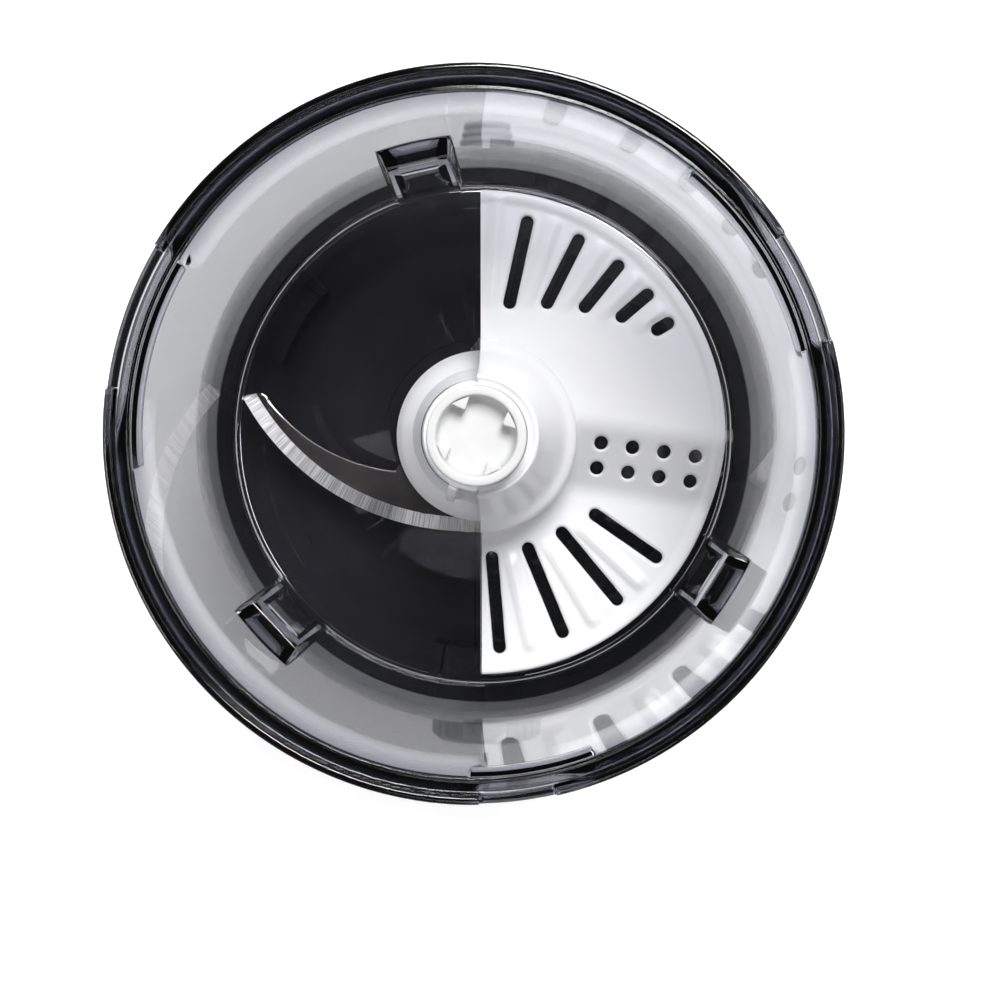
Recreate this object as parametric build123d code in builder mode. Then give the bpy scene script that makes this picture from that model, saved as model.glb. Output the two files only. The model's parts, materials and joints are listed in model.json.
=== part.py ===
"""Compact food processor: motor base, clear bowl, chopping blade and slotted whipping disc.

Frame: millimetres, +Z up, origin on the table under the drive axis, -Y is the front with the controls.
"""
from build123d import *
from math import cos, radians, sin
import os

os.makedirs("parts", exist_ok=True)

# ---------------------------------------------------------------- driving dimensions
# base
foot_height = 4.0
foot_radius = 7.0
foot_circle = 61.0
plate_thickness = 3.0
plate_top = foot_height + plate_thickness
housing_radius = 80.0
housing_wall = 2.5
deck_radius = 71.0
deck_top = 89.0
deck_thickness = 3.0
deck_bottom = deck_top - deck_thickness
boss_circle = 73.8
screw_radius = 1.5

# bowl
floor_z = 96.0
bowl_depth = 105.0
floor_radius = 63.5
rim_inner_radius = 69.5
rim_outer_radius = 75.0
bowl_wall = 2.7
floor_thickness = 2.5
column_bore = 6.5
column_radius = 8.5
column_height = 45.0
lug_pitch = 120
lid_lugs = ((32.3, 36.5), (167.5, 36.5), (280.2, 22.2))
lid_lug_radius = 67.7
lid_lug_low = 99.5
lid_lug_high = 103.0
block_angles = (102.5, 223.0, 328.3)
block_height = 62.0
block_foot_radius = 62.4
block_top_radius = 61.7
block_foot_width = 17.0
block_top_width = 14.7
block_wall = 2.6
block_roof = 14.0
pocket_reach = 16.0
lip_notches = ((24.0, 18.0), (160.8, 23.5), (277.0, 12.0))
lip_notch_depth = 2.6
floor_fillet = 0.4
floor_chamfer = 1.0
flare_low = 86.0
flare_high = 97.0
notch_low = 95.0
lock_angles = [30 + lug_pitch * turn for turn in range(3)]
lock_arc = 20
rest_gap = 0.3

# drive train
motor_y = 30.0
gear_module = 1.0
pinion_teeth = 12
gear_teeth = 48
gear_bottom = 74.0
gear_top = 80.0
spindle_radius = 4.0
running_gap = 0.05
fit_gap = 0.02
bracket_z = 10.0
gear_plate_z = 69.0
gear_plate_thickness = 2.0
gear_plate_top = gear_plate_z + gear_plate_thickness
core_bottom = 32.0
core_top = 56.0
motor_bolt_places = [(23, motor_y - 19), (-23, motor_y - 19), (23, motor_y + 19), (-23, motor_y + 19)]
gear_post_places = [(34, 0), (-34, 0), (0, 61)]

# tools
hub_skirt_radius = 21.2
hub_bore = 9.0
hub_body_top = 61.0
cap_radius = 11.0
cap_top = 75.0
recess_radius = 8.4
recess_depth = 4.5
tooth_tip_radius = 6.5
dog_across_flats = 10.0
dog_bottom = 46.0
dog_top = 57.0
rib_angles = (82, 244)
blade_z = 6.0
blade_thickness = 1.2
upper_blade_step = 3.5
bevel_width = 3.6
blade_tip = (-60.1, 9.4)
blade_tip_back = (-54.6, 10.3)
blade_tip_middle = (-57.5, 10.85)
blade_heel = (-21.9, -8.8)
edge_foot = (0, -23.9)
edge_centre = (-3.8, 40.2)
edge_radius = 64.2
back_radius = 45.1

# whipping disc, heights above the bowl's floor
disc_radius = 58.7
disc_high = 29.0
disc_low = 17.5
disc_thickness = 2.2
disc_turn = 8.2
collar_radius = 22.9
disc_slot_width = 3.1
disc_slot_end = 52.4
upper_slots = [(77.7, 32.7), (63.4, 35.7), (51.0, 39.8), (40.2, 44.3), (31.0, 49.4)]
lower_slots = [(-85.2, 30.0), (-67.6, 30.0), (-50.4, 31.0), (-34.8, 34.0)]
upper_ridges = (85.5, 70.7, 56.7, 45.0, 34.4)
lower_ridges = (-77.0, -59.0, -43.3)
seam_gap = 0.05

# controls
knob_z = 34.0
knob_radius = 16.0
knob_back = 80.6
knob_front = 93.0
button_z = 66.0
button_radius = 6.0
button_flange = 73.0
board_y = -55.0
interlock_x = 65.0
interlock_bottom = 66.0
interlock_top = 71.0
pin_radius = 1.8
inlet_z = 20.0
inlet_bore = 3.6
front_end = knob_front


def radial_plane(angle, height=0.0):
    """Upright plane through the drive axis: local x points outwards, local y points up."""
    turn = radians(angle)
    return Plane(origin=(0, 0, height), x_dir=(cos(turn), sin(turn), 0), z_dir=(sin(turn), -cos(turn), 0))


def polar(radius, angle, height=None):
    """Point at a radius and an angle about the drive axis."""
    x = radius * cos(radians(angle))
    y = radius * sin(radians(angle))
    return (x, y) if height is None else (x, y, height)


def wall_inside(height):
    """Inner radius of the tapered bowl wall at a height above the bowl's floor."""
    return floor_radius + (rim_inner_radius - floor_radius) * height / bowl_depth


def gear_points(teeth, middle_angle):
    """Outline of a spur gear whose first tooth is centred on middle_angle."""
    pitch_radius = teeth * gear_module / 2
    root = pitch_radius - 1.2 * gear_module
    tip = pitch_radius + 0.85 * gear_module
    flank = [(root, -0.34), (pitch_radius, -0.21), (tip, -0.10), (tip, 0.10), (pitch_radius, 0.21), (root, 0.34)]
    step = 360 / teeth
    return [
        polar(radius, middle_angle + (tooth + share) * step)
        for tooth in range(teeth)
        for radius, share in flank
    ]


# ================================================================ base: shells
with BuildPart() as housing:
    inner_radius = housing_radius - housing_wall
    with BuildSketch(Plane.XZ):
        with BuildLine():
            lower = Polyline(
                (inner_radius, foot_height),
                (housing_radius - 1.5, foot_height),
                (housing_radius, foot_height + 4),
                (housing_radius, 62),
            )
            shoulder = TangentArc(lower @ 1, (deck_radius + 2.6, deck_top), tangent=(0, 1))
            ledge = Polyline(
                shoulder @ 1,
                (deck_radius + 0.1, deck_top),
                (deck_radius + 0.1, deck_bottom),
                (deck_radius - 3, deck_bottom),
                (deck_radius - 3, deck_bottom - 2.2),
                (deck_radius + 1, deck_bottom - 2.2),
            )
            inner_shoulder = Line(ledge @ 1, (inner_radius, 66))
            Line(inner_shoulder @ 1, (inner_radius, foot_height))
        make_face()
    revolve(axis=Axis.Z)
    # screw bosses on the inside of the wall
    with BuildSketch(Plane.XY.offset(plate_top)):
        with PolarLocations(boss_circle, 4, start_angle=45):
            Circle(4)
    extrude(amount=24)
    with BuildSketch(Plane.XY.offset(plate_top)):
        with PolarLocations(boss_circle, 4, start_angle=45):
            Circle(screw_radius)
    extrude(amount=16, mode=Mode.SUBTRACT)
    # control openings at the front and the cord inlet at the back
    with BuildSketch(Plane.XZ.offset(inner_radius - 6)):
        with Locations((0, knob_z)):
            Circle(5.2)
        with Locations((0, button_z)):
            Circle(button_radius + 0.35)
    extrude(amount=20, mode=Mode.SUBTRACT)
    with BuildSketch(Plane.XZ.offset(-inner_radius + 6)):
        with Locations((0, inlet_z)):
            Circle(7.2)
    extrude(amount=-20, mode=Mode.SUBTRACT)
    # cooling slots in the rear wall
    for angle in [54 + 6 * slot for slot in range(3)] + [114 + 6 * slot for slot in range(3)]:
        with BuildSketch(Plane(origin=polar(inner_radius - 5, angle, 44), z_dir=polar(1, angle, 0))):
            SlotOverall(26, 3, rotation=90)
        extrude(amount=14, mode=Mode.SUBTRACT)
housing.part.label = "housing"
export_step(housing.part, "parts/housing.step")

with BuildPart() as deck:
    with BuildSketch(Plane.XY.offset(deck_bottom)):
        Circle(deck_radius)
    extrude(amount=deck_thickness)
    with BuildSketch(Plane.XY.offset(gear_top + 1.5)):
        Circle(9)
    extrude(amount=deck_bottom - gear_top - 1.5)
    with BuildSketch(Plane.XY.offset(gear_plate_top)):
        with Locations(*gear_post_places):
            Circle(4)
    extrude(amount=deck_bottom - gear_plate_top)
    # bayonet hooks that hold the bowl down, each with a stop wall at its clockwise end
    for angle in lock_angles:
        with BuildSketch(radial_plane(angle - lock_arc / 2)):
            with BuildLine():
                Polyline(
                    (54.5, deck_top),
                    (57.8, deck_top),
                    (57.8, deck_top + 2.6),
                    (62.5, deck_top + 2.6),
                    (62.5, deck_top + 4.1),
                    (54.5, deck_top + 4.1),
                    close=True,
                )
            make_face()
        revolve(axis=Axis.Z, revolution_arc=lock_arc)
        with BuildSketch(radial_plane(angle - lock_arc / 2 - 3)):
            with Locations((58.5, deck_top + 2.05)):
                Rectangle(8, 4.1)
        revolve(axis=Axis.Z, revolution_arc=2.4)
    with BuildSketch(Plane.XY.offset(gear_top)):
        Circle(6)
    extrude(amount=20, mode=Mode.SUBTRACT)
    with BuildSketch(Plane.XY.offset(gear_plate_top)):
        with Locations(*gear_post_places):
            Circle(screw_radius + running_gap)
    extrude(amount=11, mode=Mode.SUBTRACT)
    # guide hole and hanger of the interlock switch
    with BuildSketch(Plane.XY.offset(interlock_bottom)):
        with Locations((63.5, 7.7), (63.5, -7.7)):
            Rectangle(6, 3)
    extrude(amount=deck_bottom - interlock_bottom)
    with BuildSketch(Plane.XY.offset(deck_bottom)):
        with Locations((interlock_x, 0)):
            Circle(pin_radius + 0.2)
    extrude(amount=deck_thickness, mode=Mode.SUBTRACT)
deck.part.label = "deck"
export_step(deck.part, "parts/deck.step")

with BuildPart() as bottom_plate:
    with BuildSketch(Plane.XY.offset(foot_height)):
        Circle(housing_radius - housing_wall - rest_gap)
        with PolarLocations(foot_circle, 4, start_angle=45):
            Circle(2.6, mode=Mode.SUBTRACT)
        with PolarLocations(boss_circle, 4, start_angle=45):
            Circle(screw_radius + running_gap, mode=Mode.SUBTRACT)
        with Locations((0, motor_y)):
            with GridLocations(8, 0, 5, 1):
                SlotOverall(40, 3.2, rotation=90, mode=Mode.SUBTRACT)
    extrude(amount=plate_thickness)
    # two posts with grooves hold the circuit board upright
    with BuildSketch(Plane.XY.offset(plate_top)):
        with Locations((34.5, board_y), (-34.5, board_y)):
            Rectangle(5, 7)
        with Locations((0, board_y)):
            Rectangle(66.4, 1.8, mode=Mode.SUBTRACT)
    extrude(amount=42)
bottom_plate.part.label = "bottom_plate"
export_step(bottom_plate.part, "parts/bottom_plate.step")

with BuildPart() as rubber_feet:
    with BuildSketch():
        with PolarLocations(foot_circle, 4, start_angle=45):
            Circle(foot_radius)
    extrude(amount=foot_height)
    chamfer(rubber_feet.edges().group_by(Axis.Z)[0], 0.8)
    with BuildSketch(Plane.XY.offset(foot_height)):
        with PolarLocations(foot_circle, 4, start_angle=45):
            Circle(2.5)
    extrude(amount=plate_thickness + 1)
rubber_feet.part.label = "rubber_feet"
export_step(rubber_feet.part, "parts/rubber_feet.step")

with BuildPart() as case_screws:
    with BuildSketch(Plane.XY.offset(foot_height)):
        with PolarLocations(boss_circle, 4, start_angle=45):
            Circle(screw_radius)
    extrude(amount=14)
    with BuildSketch(Plane.XY.offset(foot_height - 2)):
        with PolarLocations(boss_circle, 4, start_angle=45):
            Circle(3)
            Rectangle(4, 0.8, mode=Mode.SUBTRACT)
    extrude(amount=2)
case_screws.part.label = "case_screws"
export_step(case_screws.part, "parts/case_screws.step")

# ================================================================ base: drive support
with BuildPart() as gear_plate:
    with BuildSketch(Plane.XY.offset(gear_plate_z)):
        Rectangle(78, 16)
        with Locations((0, motor_y)):
            Rectangle(56, 52)
        with Locations((0, 61)):
            Rectangle(16, 12)
        Circle(6.5, mode=Mode.SUBTRACT)
        with Locations((0, motor_y)):
            Circle(6.5, mode=Mode.SUBTRACT)
        with Locations(*gear_post_places):
            Circle(screw_radius + running_gap, mode=Mode.SUBTRACT)
        with Locations(*motor_bolt_places):
            Circle(2 + running_gap, mode=Mode.SUBTRACT)
    extrude(amount=gear_plate_thickness)
gear_plate.part.label = "gear_plate"
export_step(gear_plate.part, "parts/gear_plate.step")

with BuildPart() as gear_plate_screws:
    with BuildSketch(Plane.XY.offset(gear_plate_z)):
        with Locations(*gear_post_places):
            Circle(screw_radius)
    extrude(amount=11)
    with BuildSketch(Plane.XY.offset(gear_plate_z - 2)):
        with Locations(*gear_post_places):
            Circle(3)
    extrude(amount=2)
gear_plate_screws.part.label = "gear_plate_screws"
export_step(gear_plate_screws.part, "parts/gear_plate_screws.step")

with BuildPart() as spindle_bushes:
    # plain bronze bushes above and below the gear
    for bottom, height, outer in ((gear_plate_z - 2, 5.2, 6.45), (gear_top + 1.5, 5.5, 5.95)):
        with BuildSketch(Plane.XY.offset(bottom)):
            Circle(outer)
            Circle(spindle_radius + running_gap, mode=Mode.SUBTRACT)
        extrude(amount=height)
spindle_bushes.part.label = "spindle_bushes"
export_step(spindle_bushes.part, "parts/spindle_bushes.step")

with BuildPart() as spindle_seal:
    with BuildSketch(Plane.XZ):
        with BuildLine():
            Polyline(
                (spindle_radius + running_gap, deck_top - 2),
                (5.95, deck_top - 2),
                (5.95, deck_top),
                (spindle_radius + running_gap, deck_top + 2.5),
                close=True,
            )
        make_face()
    revolve(axis=Axis.Z)
spindle_seal.part.label = "spindle_seal"
export_step(spindle_seal.part, "parts/spindle_seal.step")

# ================================================================ base: motor stator
with BuildPart() as stator_core:
    with BuildSketch(Plane.XY.offset(core_bottom)):
        with Locations((0, motor_y)):
            Rectangle(54, 46)
            Circle(15, mode=Mode.SUBTRACT)
        with Locations([(x, motor_y + y) for x in (-20, 20) for y in (-10, 10)]):
            Rectangle(5.4, 6, mode=Mode.SUBTRACT)
        with Locations(*motor_bolt_places):
            Circle(2 + running_gap, mode=Mode.SUBTRACT)
    extrude(amount=core_top - core_bottom)
stator_core.part.label = "stator_core"
export_step(stator_core.part, "parts/stator_core.step")

with BuildPart() as field_coils:
    for side in (-1, 1):
        with BuildSketch(Plane.YZ.offset(20 * side - 2.4)):
            with Locations((motor_y, (core_bottom + core_top) / 2)):
                RectangleRounded(25.2, 35, 4)
                Rectangle(14.8, 25.4, mode=Mode.SUBTRACT)
        extrude(amount=4.8)
field_coils.part.label = "field_coils"
export_step(field_coils.part, "parts/field_coils.step")

with BuildPart() as motor_bracket:
    with BuildSketch(Plane.XY.offset(bracket_z)):
        with Locations((0, motor_y)):
            RectangleRounded(54, 46, 4)
            Circle(6.5, mode=Mode.SUBTRACT)
        with Locations([(x, motor_y + y) for x in (-14, 14) for y in (-12, 12)]):
            Circle(4, mode=Mode.SUBTRACT)
        with Locations(*motor_bolt_places):
            Circle(2 + running_gap, mode=Mode.SUBTRACT)
    extrude(amount=2)
    # upright seats for the brush holders
    with BuildSketch(Plane.XY.offset(bracket_z + 2)):
        with Locations((18, motor_y), (-18, motor_y)):
            Rectangle(6, 10)
    extrude(amount=4)
motor_bracket.part.label = "motor_bracket"
export_step(motor_bracket.part, "parts/motor_bracket.step")

with BuildPart() as motor_bearings:
    for bottom in (bracket_z - 1, gear_plate_z - 1):
        with BuildSketch(Plane.XY.offset(bottom)):
            with Locations((0, motor_y)):
                Circle(6.45)
                Circle(2.5 + running_gap, mode=Mode.SUBTRACT)
        extrude(amount=4)
motor_bearings.part.label = "motor_bearings"
export_step(motor_bearings.part, "parts/motor_bearings.step")

with BuildPart() as motor_bolts:
    with BuildSketch(Plane.XY.offset(bracket_z)):
        with Locations(*motor_bolt_places):
            Circle(2)
    extrude(amount=gear_plate_top - bracket_z)
    with BuildSketch(Plane.XY.offset(bracket_z - 2.4)):
        with Locations(*motor_bolt_places):
            RegularPolygon(3.6, 6)
    extrude(amount=2.4)
motor_bolts.part.label = "motor_bolts"
export_step(motor_bolts.part, "parts/motor_bolts.step")

brush_z = bracket_z + 10
with BuildPart() as brush_holders:
    for side in (-1, 1):
        with BuildSketch(Plane.YZ.offset(10 * side)):
            with Locations((motor_y, brush_z)):
                Rectangle(9, 8)
                Rectangle(6.2, 5.2, mode=Mode.SUBTRACT)
        extrude(amount=15 * side)
brush_holders.part.label = "brush_holders"
export_step(brush_holders.part, "parts/brush_holders.step")

with BuildPart() as carbon_brushes:
    for side in (-1, 1):
        with BuildSketch(Plane.YZ.offset(8.4 * side)):
            with Locations((motor_y, brush_z)):
                Rectangle(6, 5)
        extrude(amount=12 * side)
carbon_brushes.part.label = "carbon_brushes"
export_step(carbon_brushes.part, "parts/carbon_brushes.step")

# ================================================================ base: electrics
with BuildPart() as circuit_board:
    with BuildSketch(Plane.XY.offset(plate_top)):
        with Locations((0, board_y)):
            Rectangle(66, 1.6)
    extrude(amount=66)
circuit_board.part.label = "circuit_board"
export_step(circuit_board.part, "parts/circuit_board.step")

with BuildPart() as speed_switch:
    with BuildSketch(Plane.XZ.offset(-board_y + 0.8)):
        with Locations((0, knob_z)):
            RectangleRounded(26, 26, 2)
    extrude(amount=13)
    with BuildSketch(Plane.XZ.offset(-board_y + 13.8)):
        with Locations((0, knob_z)):
            Circle(5)
    extrude(amount=10)
    with BuildSketch(Plane.XZ.offset(-board_y + 8)):
        with Locations((0, knob_z)):
            Circle(3 + running_gap)
    extrude(amount=20, mode=Mode.SUBTRACT)
speed_switch.part.label = "speed_switch"
export_step(speed_switch.part, "parts/speed_switch.step")

with BuildPart() as pulse_switch:
    with BuildSketch(Plane.XZ.offset(-board_y + 0.8)):
        with Locations((0, button_z)):
            Rectangle(14, 12)
    extrude(amount=11)
pulse_switch.part.label = "pulse_switch"
export_step(pulse_switch.part, "parts/pulse_switch.step")

with BuildPart() as interlock_switch:
    with BuildSketch(Plane.XY.offset(interlock_bottom)):
        with Locations((interlock_x - 1, 0)):
            Rectangle(8, 12)
    extrude(amount=interlock_top - interlock_bottom)
    with BuildSketch(Plane.XY.offset(interlock_top)):
        with Locations((interlock_x, 0)):
            Circle(pin_radius + 0.3)
    extrude(amount=-3, mode=Mode.SUBTRACT)
interlock_switch.part.label = "interlock_switch"
export_step(interlock_switch.part, "parts/interlock_switch.step")

with BuildPart() as terminal_block:
    with BuildSketch(Plane.XY.offset(plate_top)):
        with Locations((-46, 22)):
            Rectangle(20, 10)
    extrude(amount=11)
    with BuildSketch(Plane.XY.offset(plate_top + 11)):
        with Locations((-46, 22)):
            with GridLocations(6, 0, 3, 1):
                Circle(1.8)
    extrude(amount=-6, mode=Mode.SUBTRACT)
terminal_block.part.label = "terminal_block"
export_step(terminal_block.part, "parts/terminal_block.step")

with BuildPart() as cable_gland:
    with BuildSketch(Plane.YZ):
        with BuildLine():
            Polyline(
                (70, inlet_z + inlet_bore),
                (70, inlet_z + 7),
                (housing_radius + 0.2, inlet_z + 7),
                (housing_radius + 0.2, inlet_z + 10),
                (housing_radius + 3, inlet_z + 10),
                (front_end, inlet_z + 6.5),
                (front_end, inlet_z + inlet_bore),
                close=True,
            )
        make_face()
    revolve(axis=Axis((0, 0, inlet_z), (0, 1, 0)))
cable_gland.part.label = "cable_gland"
export_step(cable_gland.part, "parts/cable_gland.step")

with BuildPart() as gland_nut:
    with BuildSketch(Plane.XZ.offset(-76.2)):
        with Locations((0, inlet_z)):
            RegularPolygon(11, 6)
            Circle(7 + fit_gap, mode=Mode.SUBTRACT)
    extrude(amount=5)
gland_nut.part.label = "gland_nut"
export_step(gland_nut.part, "parts/gland_nut.step")

# ================================================================ motor rotor
with BuildPart() as motor_shaft:
    with BuildSketch(Plane.XY.offset(8.6)):
        with Locations((0, motor_y)):
            Circle(2.5)
    extrude(amount=74)
motor_shaft.part.label = "motor_shaft"
export_step(motor_shaft.part, "parts/motor_shaft.step")

with BuildPart() as armature_core:
    with BuildSketch(Plane.XY.offset(core_bottom)):
        with Locations((0, motor_y)):
            Circle(14.4)
            Circle(2.5 + fit_gap, mode=Mode.SUBTRACT)
            with PolarLocations(12.6, 12):
                SlotOverall(5, 1.8, mode=Mode.SUBTRACT)
    extrude(amount=core_top - core_bottom)
armature_core.part.label = "armature_core"
export_step(armature_core.part, "parts/armature_core.step")

with BuildPart() as armature_windings:
    for bottom in (core_bottom - 5, core_top):
        with BuildSketch(Plane.XY.offset(bottom)):
            with Locations((0, motor_y)):
                Circle(12)
                Circle(2.5 + fit_gap, mode=Mode.SUBTRACT)
        extrude(amount=5)
    fillet(armature_windings.edges().filter_by(GeomType.CIRCLE).filter_by(lambda edge: edge.radius > 11), 1.8)
armature_windings.part.label = "armature_windings"
export_step(armature_windings.part, "parts/armature_windings.step")

with BuildPart() as commutator:
    with BuildSketch(Plane.XY.offset(brush_z - 5)):
        with Locations((0, motor_y)):
            Circle(8)
            Circle(2.5 + fit_gap, mode=Mode.SUBTRACT)
            with PolarLocations(7.7, 12):
                Rectangle(1.2, 0.5, mode=Mode.SUBTRACT)
    extrude(amount=10)
commutator.part.label = "commutator"
export_step(commutator.part, "parts/commutator.step")

with BuildPart() as cooling_fan:
    fan_bottom = 63.0
    with BuildSketch(Plane.XY.offset(fan_bottom)):
        with Locations((0, motor_y)):
            Circle(19)
            Circle(2.5 + fit_gap, mode=Mode.SUBTRACT)
    extrude(amount=1.2)
    with BuildSketch(Plane.XY.offset(fan_bottom + 1.2)):
        with Locations((0, motor_y)):
            Circle(5)
            with PolarLocations(12, 9):
                Rectangle(13, 1.2, rotation=25)
            Circle(2.5 + fit_gap, mode=Mode.SUBTRACT)
    extrude(amount=3)
cooling_fan.part.label = "cooling_fan"
export_step(cooling_fan.part, "parts/cooling_fan.step")

with BuildPart() as motor_pinion:
    with BuildSketch(Plane(origin=(0, motor_y, gear_bottom - 0.5))):
        with BuildLine():
            Polyline(*gear_points(pinion_teeth, -90), close=True)
        make_face()
        Circle(2.5 + fit_gap, mode=Mode.SUBTRACT)
    extrude(amount=gear_top - gear_bottom + 1)
motor_pinion.part.label = "motor_pinion"
export_step(motor_pinion.part, "parts/motor_pinion.step")

# ================================================================ bowl drive
with BuildPart() as drive_spindle:
    with BuildSketch(Plane.XY.offset(63)):
        Circle(spindle_radius)
    extrude(amount=floor_z + dog_top - 1 - 63)
    chamfer(drive_spindle.edges().group_by(Axis.Z)[-1], 0.6)
drive_spindle.part.label = "drive_spindle"
export_step(drive_spindle.part, "parts/drive_spindle.step")

with BuildPart() as drive_gear:
    with BuildSketch(Plane.XY.offset(gear_bottom)):
        with BuildLine():
            Polyline(*gear_points(gear_teeth, 90 + 180 / gear_teeth), close=True)
        make_face()
        with PolarLocations(15, 6):
            Circle(4.2, mode=Mode.SUBTRACT)
    extrude(amount=gear_top - gear_bottom)
    with BuildSketch(Plane.XY.offset(gear_bottom - 1)):
        Circle(8)
    extrude(amount=1)
    with BuildSketch(Plane.XY.offset(gear_bottom - 1)):
        Circle(spindle_radius + fit_gap)
    extrude(amount=10, mode=Mode.SUBTRACT)
drive_gear.part.label = "drive_gear"
export_step(drive_gear.part, "parts/drive_gear.step")

with BuildPart() as spindle_washers:
    for bottom, height in ((gear_plate_z - 3.6, 1.2), (gear_top + 0.2, 0.9)):
        with BuildSketch(Plane.XY.offset(bottom)):
            Circle(7)
            Circle(spindle_radius + fit_gap, mode=Mode.SUBTRACT)
        extrude(amount=height)
spindle_washers.part.label = "spindle_washers"
export_step(spindle_washers.part, "parts/spindle_washers.step")

with BuildPart() as drive_dog:
    with BuildSketch(Plane.XY.offset(floor_z + dog_bottom)):
        RegularPolygon(dog_across_flats / 2, 6, major_radius=False)
        Circle(spindle_radius + fit_gap, mode=Mode.SUBTRACT)
    extrude(amount=dog_top - dog_bottom)
drive_dog.part.label = "drive_dog"
export_step(drive_dog.part, "parts/drive_dog.step")

# ================================================================ bowl
with BuildPart() as bowl:
    wall_foot = floor_radius + bowl_wall
    top = floor_z + bowl_depth
    with BuildSketch(Plane.XZ):
        with BuildLine():
            Polyline(
                (column_bore, floor_z - floor_thickness),
                (floor_radius + 0.3 - floor_chamfer, floor_z - floor_thickness),
                (floor_radius + 0.3, floor_z - floor_thickness - floor_chamfer),
                (floor_radius + 0.3, deck_top + rest_gap),
                (wall_foot, deck_top + rest_gap),
                (wall_foot, floor_z),
                (wall_inside(flare_low) + bowl_wall, floor_z + flare_low),
                (rim_outer_radius, floor_z + flare_high),
                (rim_outer_radius, top),
                (rim_outer_radius - 1.8, top),
                (rim_outer_radius - 2.1, top - 2.8),
                (rim_inner_radius + 0.8, top - 2.8),
                (rim_inner_radius + 0.7, top - 0.8),
                (rim_inner_radius, top - 0.8),
                (wall_inside(90), floor_z + 90),
                (floor_radius, floor_z),
                (column_radius, floor_z),
                (column_radius - 0.3, floor_z + column_height),
                (column_bore, floor_z + column_height),
                close=True,
            )
        make_face()
    revolve(axis=Axis.Z)
    floor_corner = bowl.edges().filter_by(GeomType.CIRCLE).filter_by(
        lambda edge: abs(edge.radius - floor_radius) < 0.01 and abs(edge.center().Z - floor_z) < 0.01
    )
    fillet(floor_corner, floor_fillet)
    # upright blocks that stand in from the lower wall, hollow from the outside
    for angle in block_angles:
        for height, inner, outer, width in (
            (-0.5, block_foot_radius, wall_foot - 1.2, block_foot_width),
            (block_height, block_top_radius, wall_inside(block_height) + 1.5, block_top_width),
        ):
            with BuildSketch(Plane.XY.offset(floor_z + height)):
                with Locations(Location(polar((inner + outer) / 2, angle, 0), (0, 0, angle))):
                    Rectangle(outer - inner, width)
        loft()
        for height, inner, width in (
            (block_wall, block_foot_radius + block_wall, block_foot_width - 2 * block_wall),
            (block_height - block_roof, block_top_radius + block_wall, block_top_width - 2 * block_wall),
        ):
            with BuildSketch(Plane.XY.offset(floor_z + height)):
                with Locations(Location(polar(inner, angle, 0), (0, 0, angle))):
                    Rectangle(pocket_reach, width, align=(Align.MIN, Align.CENTER))
        loft(mode=Mode.SUBTRACT)
    # lid lugs inside the rim
    for middle, arc in lid_lugs:
        with BuildSketch(radial_plane(middle - arc / 2)):
            with BuildLine():
                Polyline(
                    (wall_inside(lid_lug_low) + 0.5, floor_z + lid_lug_low),
                    (lid_lug_radius, floor_z + lid_lug_low),
                    (lid_lug_radius, floor_z + lid_lug_high),
                    (rim_inner_radius + 0.5, floor_z + lid_lug_high),
                    close=True,
                )
            make_face()
        revolve(axis=Axis.Z, revolution_arc=arc)
    # notches in the outer lip and in the flare under it, where the lid's tabs enter
    for middle, arc in lip_notches:
        with BuildSketch(radial_plane(middle - arc / 2)):
            with BuildLine():
                Polyline(
                    (wall_inside(flare_low) + bowl_wall, floor_z + flare_low),
                    (wall_inside(notch_low) + bowl_wall, floor_z + notch_low),
                    (rim_outer_radius, floor_z + notch_low + 2.5),
                    (rim_outer_radius + 1, floor_z + notch_low + 2.5),
                    (rim_outer_radius + 1, floor_z + flare_low),
                    close=True,
                )
            make_face()
        revolve(axis=Axis.Z, revolution_arc=arc, mode=Mode.SUBTRACT)
        with BuildSketch(radial_plane(middle - arc / 2)):
            with Locations((rim_outer_radius, top)):
                Rectangle(5.6, 2 * lip_notch_depth)
        revolve(axis=Axis.Z, revolution_arc=arc, mode=Mode.SUBTRACT)
    # bayonet feet inside the skirt
    for angle in lock_angles:
        with BuildSketch(radial_plane(angle - lock_arc / 2)):
            with Locations((61.3, deck_top + rest_gap + 1)):
                Rectangle(5.6, 2)
        revolve(axis=Axis.Z, revolution_arc=lock_arc)
bowl.part.label = "bowl"
export_step(bowl.part, "parts/bowl.step")

# ================================================================ chopping tool
hub_profile = [(hub_skirt_radius, 2), (hub_skirt_radius, 11), (19.6, 15), (16.2, 22), (13.8, 38), (12.2, hub_body_top)]

with BuildPart() as blade_hub:
    with BuildSketch(Plane.XZ):
        with BuildLine():
            Polyline(
                *[(radius, floor_z + height) for radius, height in hub_profile],
                (0, floor_z + hub_body_top),
                (0, floor_z + dog_bottom + 0.6),
                (hub_bore, floor_z + dog_bottom + 0.6),
                (hub_bore, floor_z + 2),
                (11, floor_z + 2),
                (11, floor_z + 10),
                (hub_skirt_radius - 2.2, floor_z + 9),
                (hub_skirt_radius - 2.2, floor_z + 2),
                close=True,
            )
        make_face()
    revolve(axis=Axis.Z)
    # drive ribs that key the disc to the hub
    for angle in rib_angles:
        with BuildSketch(radial_plane(angle)):
            with BuildLine():
                Polyline(
                    (11, floor_z + 18),
                    (17.2, floor_z + 20),
                    (17.2, floor_z + 30),
                    (13.2, floor_z + 57),
                    (11, floor_z + 59),
                    close=True,
                )
            make_face()
        extrude(amount=0.8, both=True)
    with BuildSketch(Plane.XY.offset(floor_z + dog_bottom)):
        RegularPolygon(dog_across_flats / 2 + 0.1, 6, major_radius=False)
    extrude(amount=dog_top - dog_bottom + 1.2, mode=Mode.SUBTRACT)
    with BuildSketch(Plane.XY.offset(floor_z)):
        Circle(hub_bore)
    extrude(amount=dog_bottom, mode=Mode.SUBTRACT)
blade_hub.part.label = "blade_hub"
export_step(blade_hub.part, "parts/blade_hub.step")

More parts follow.
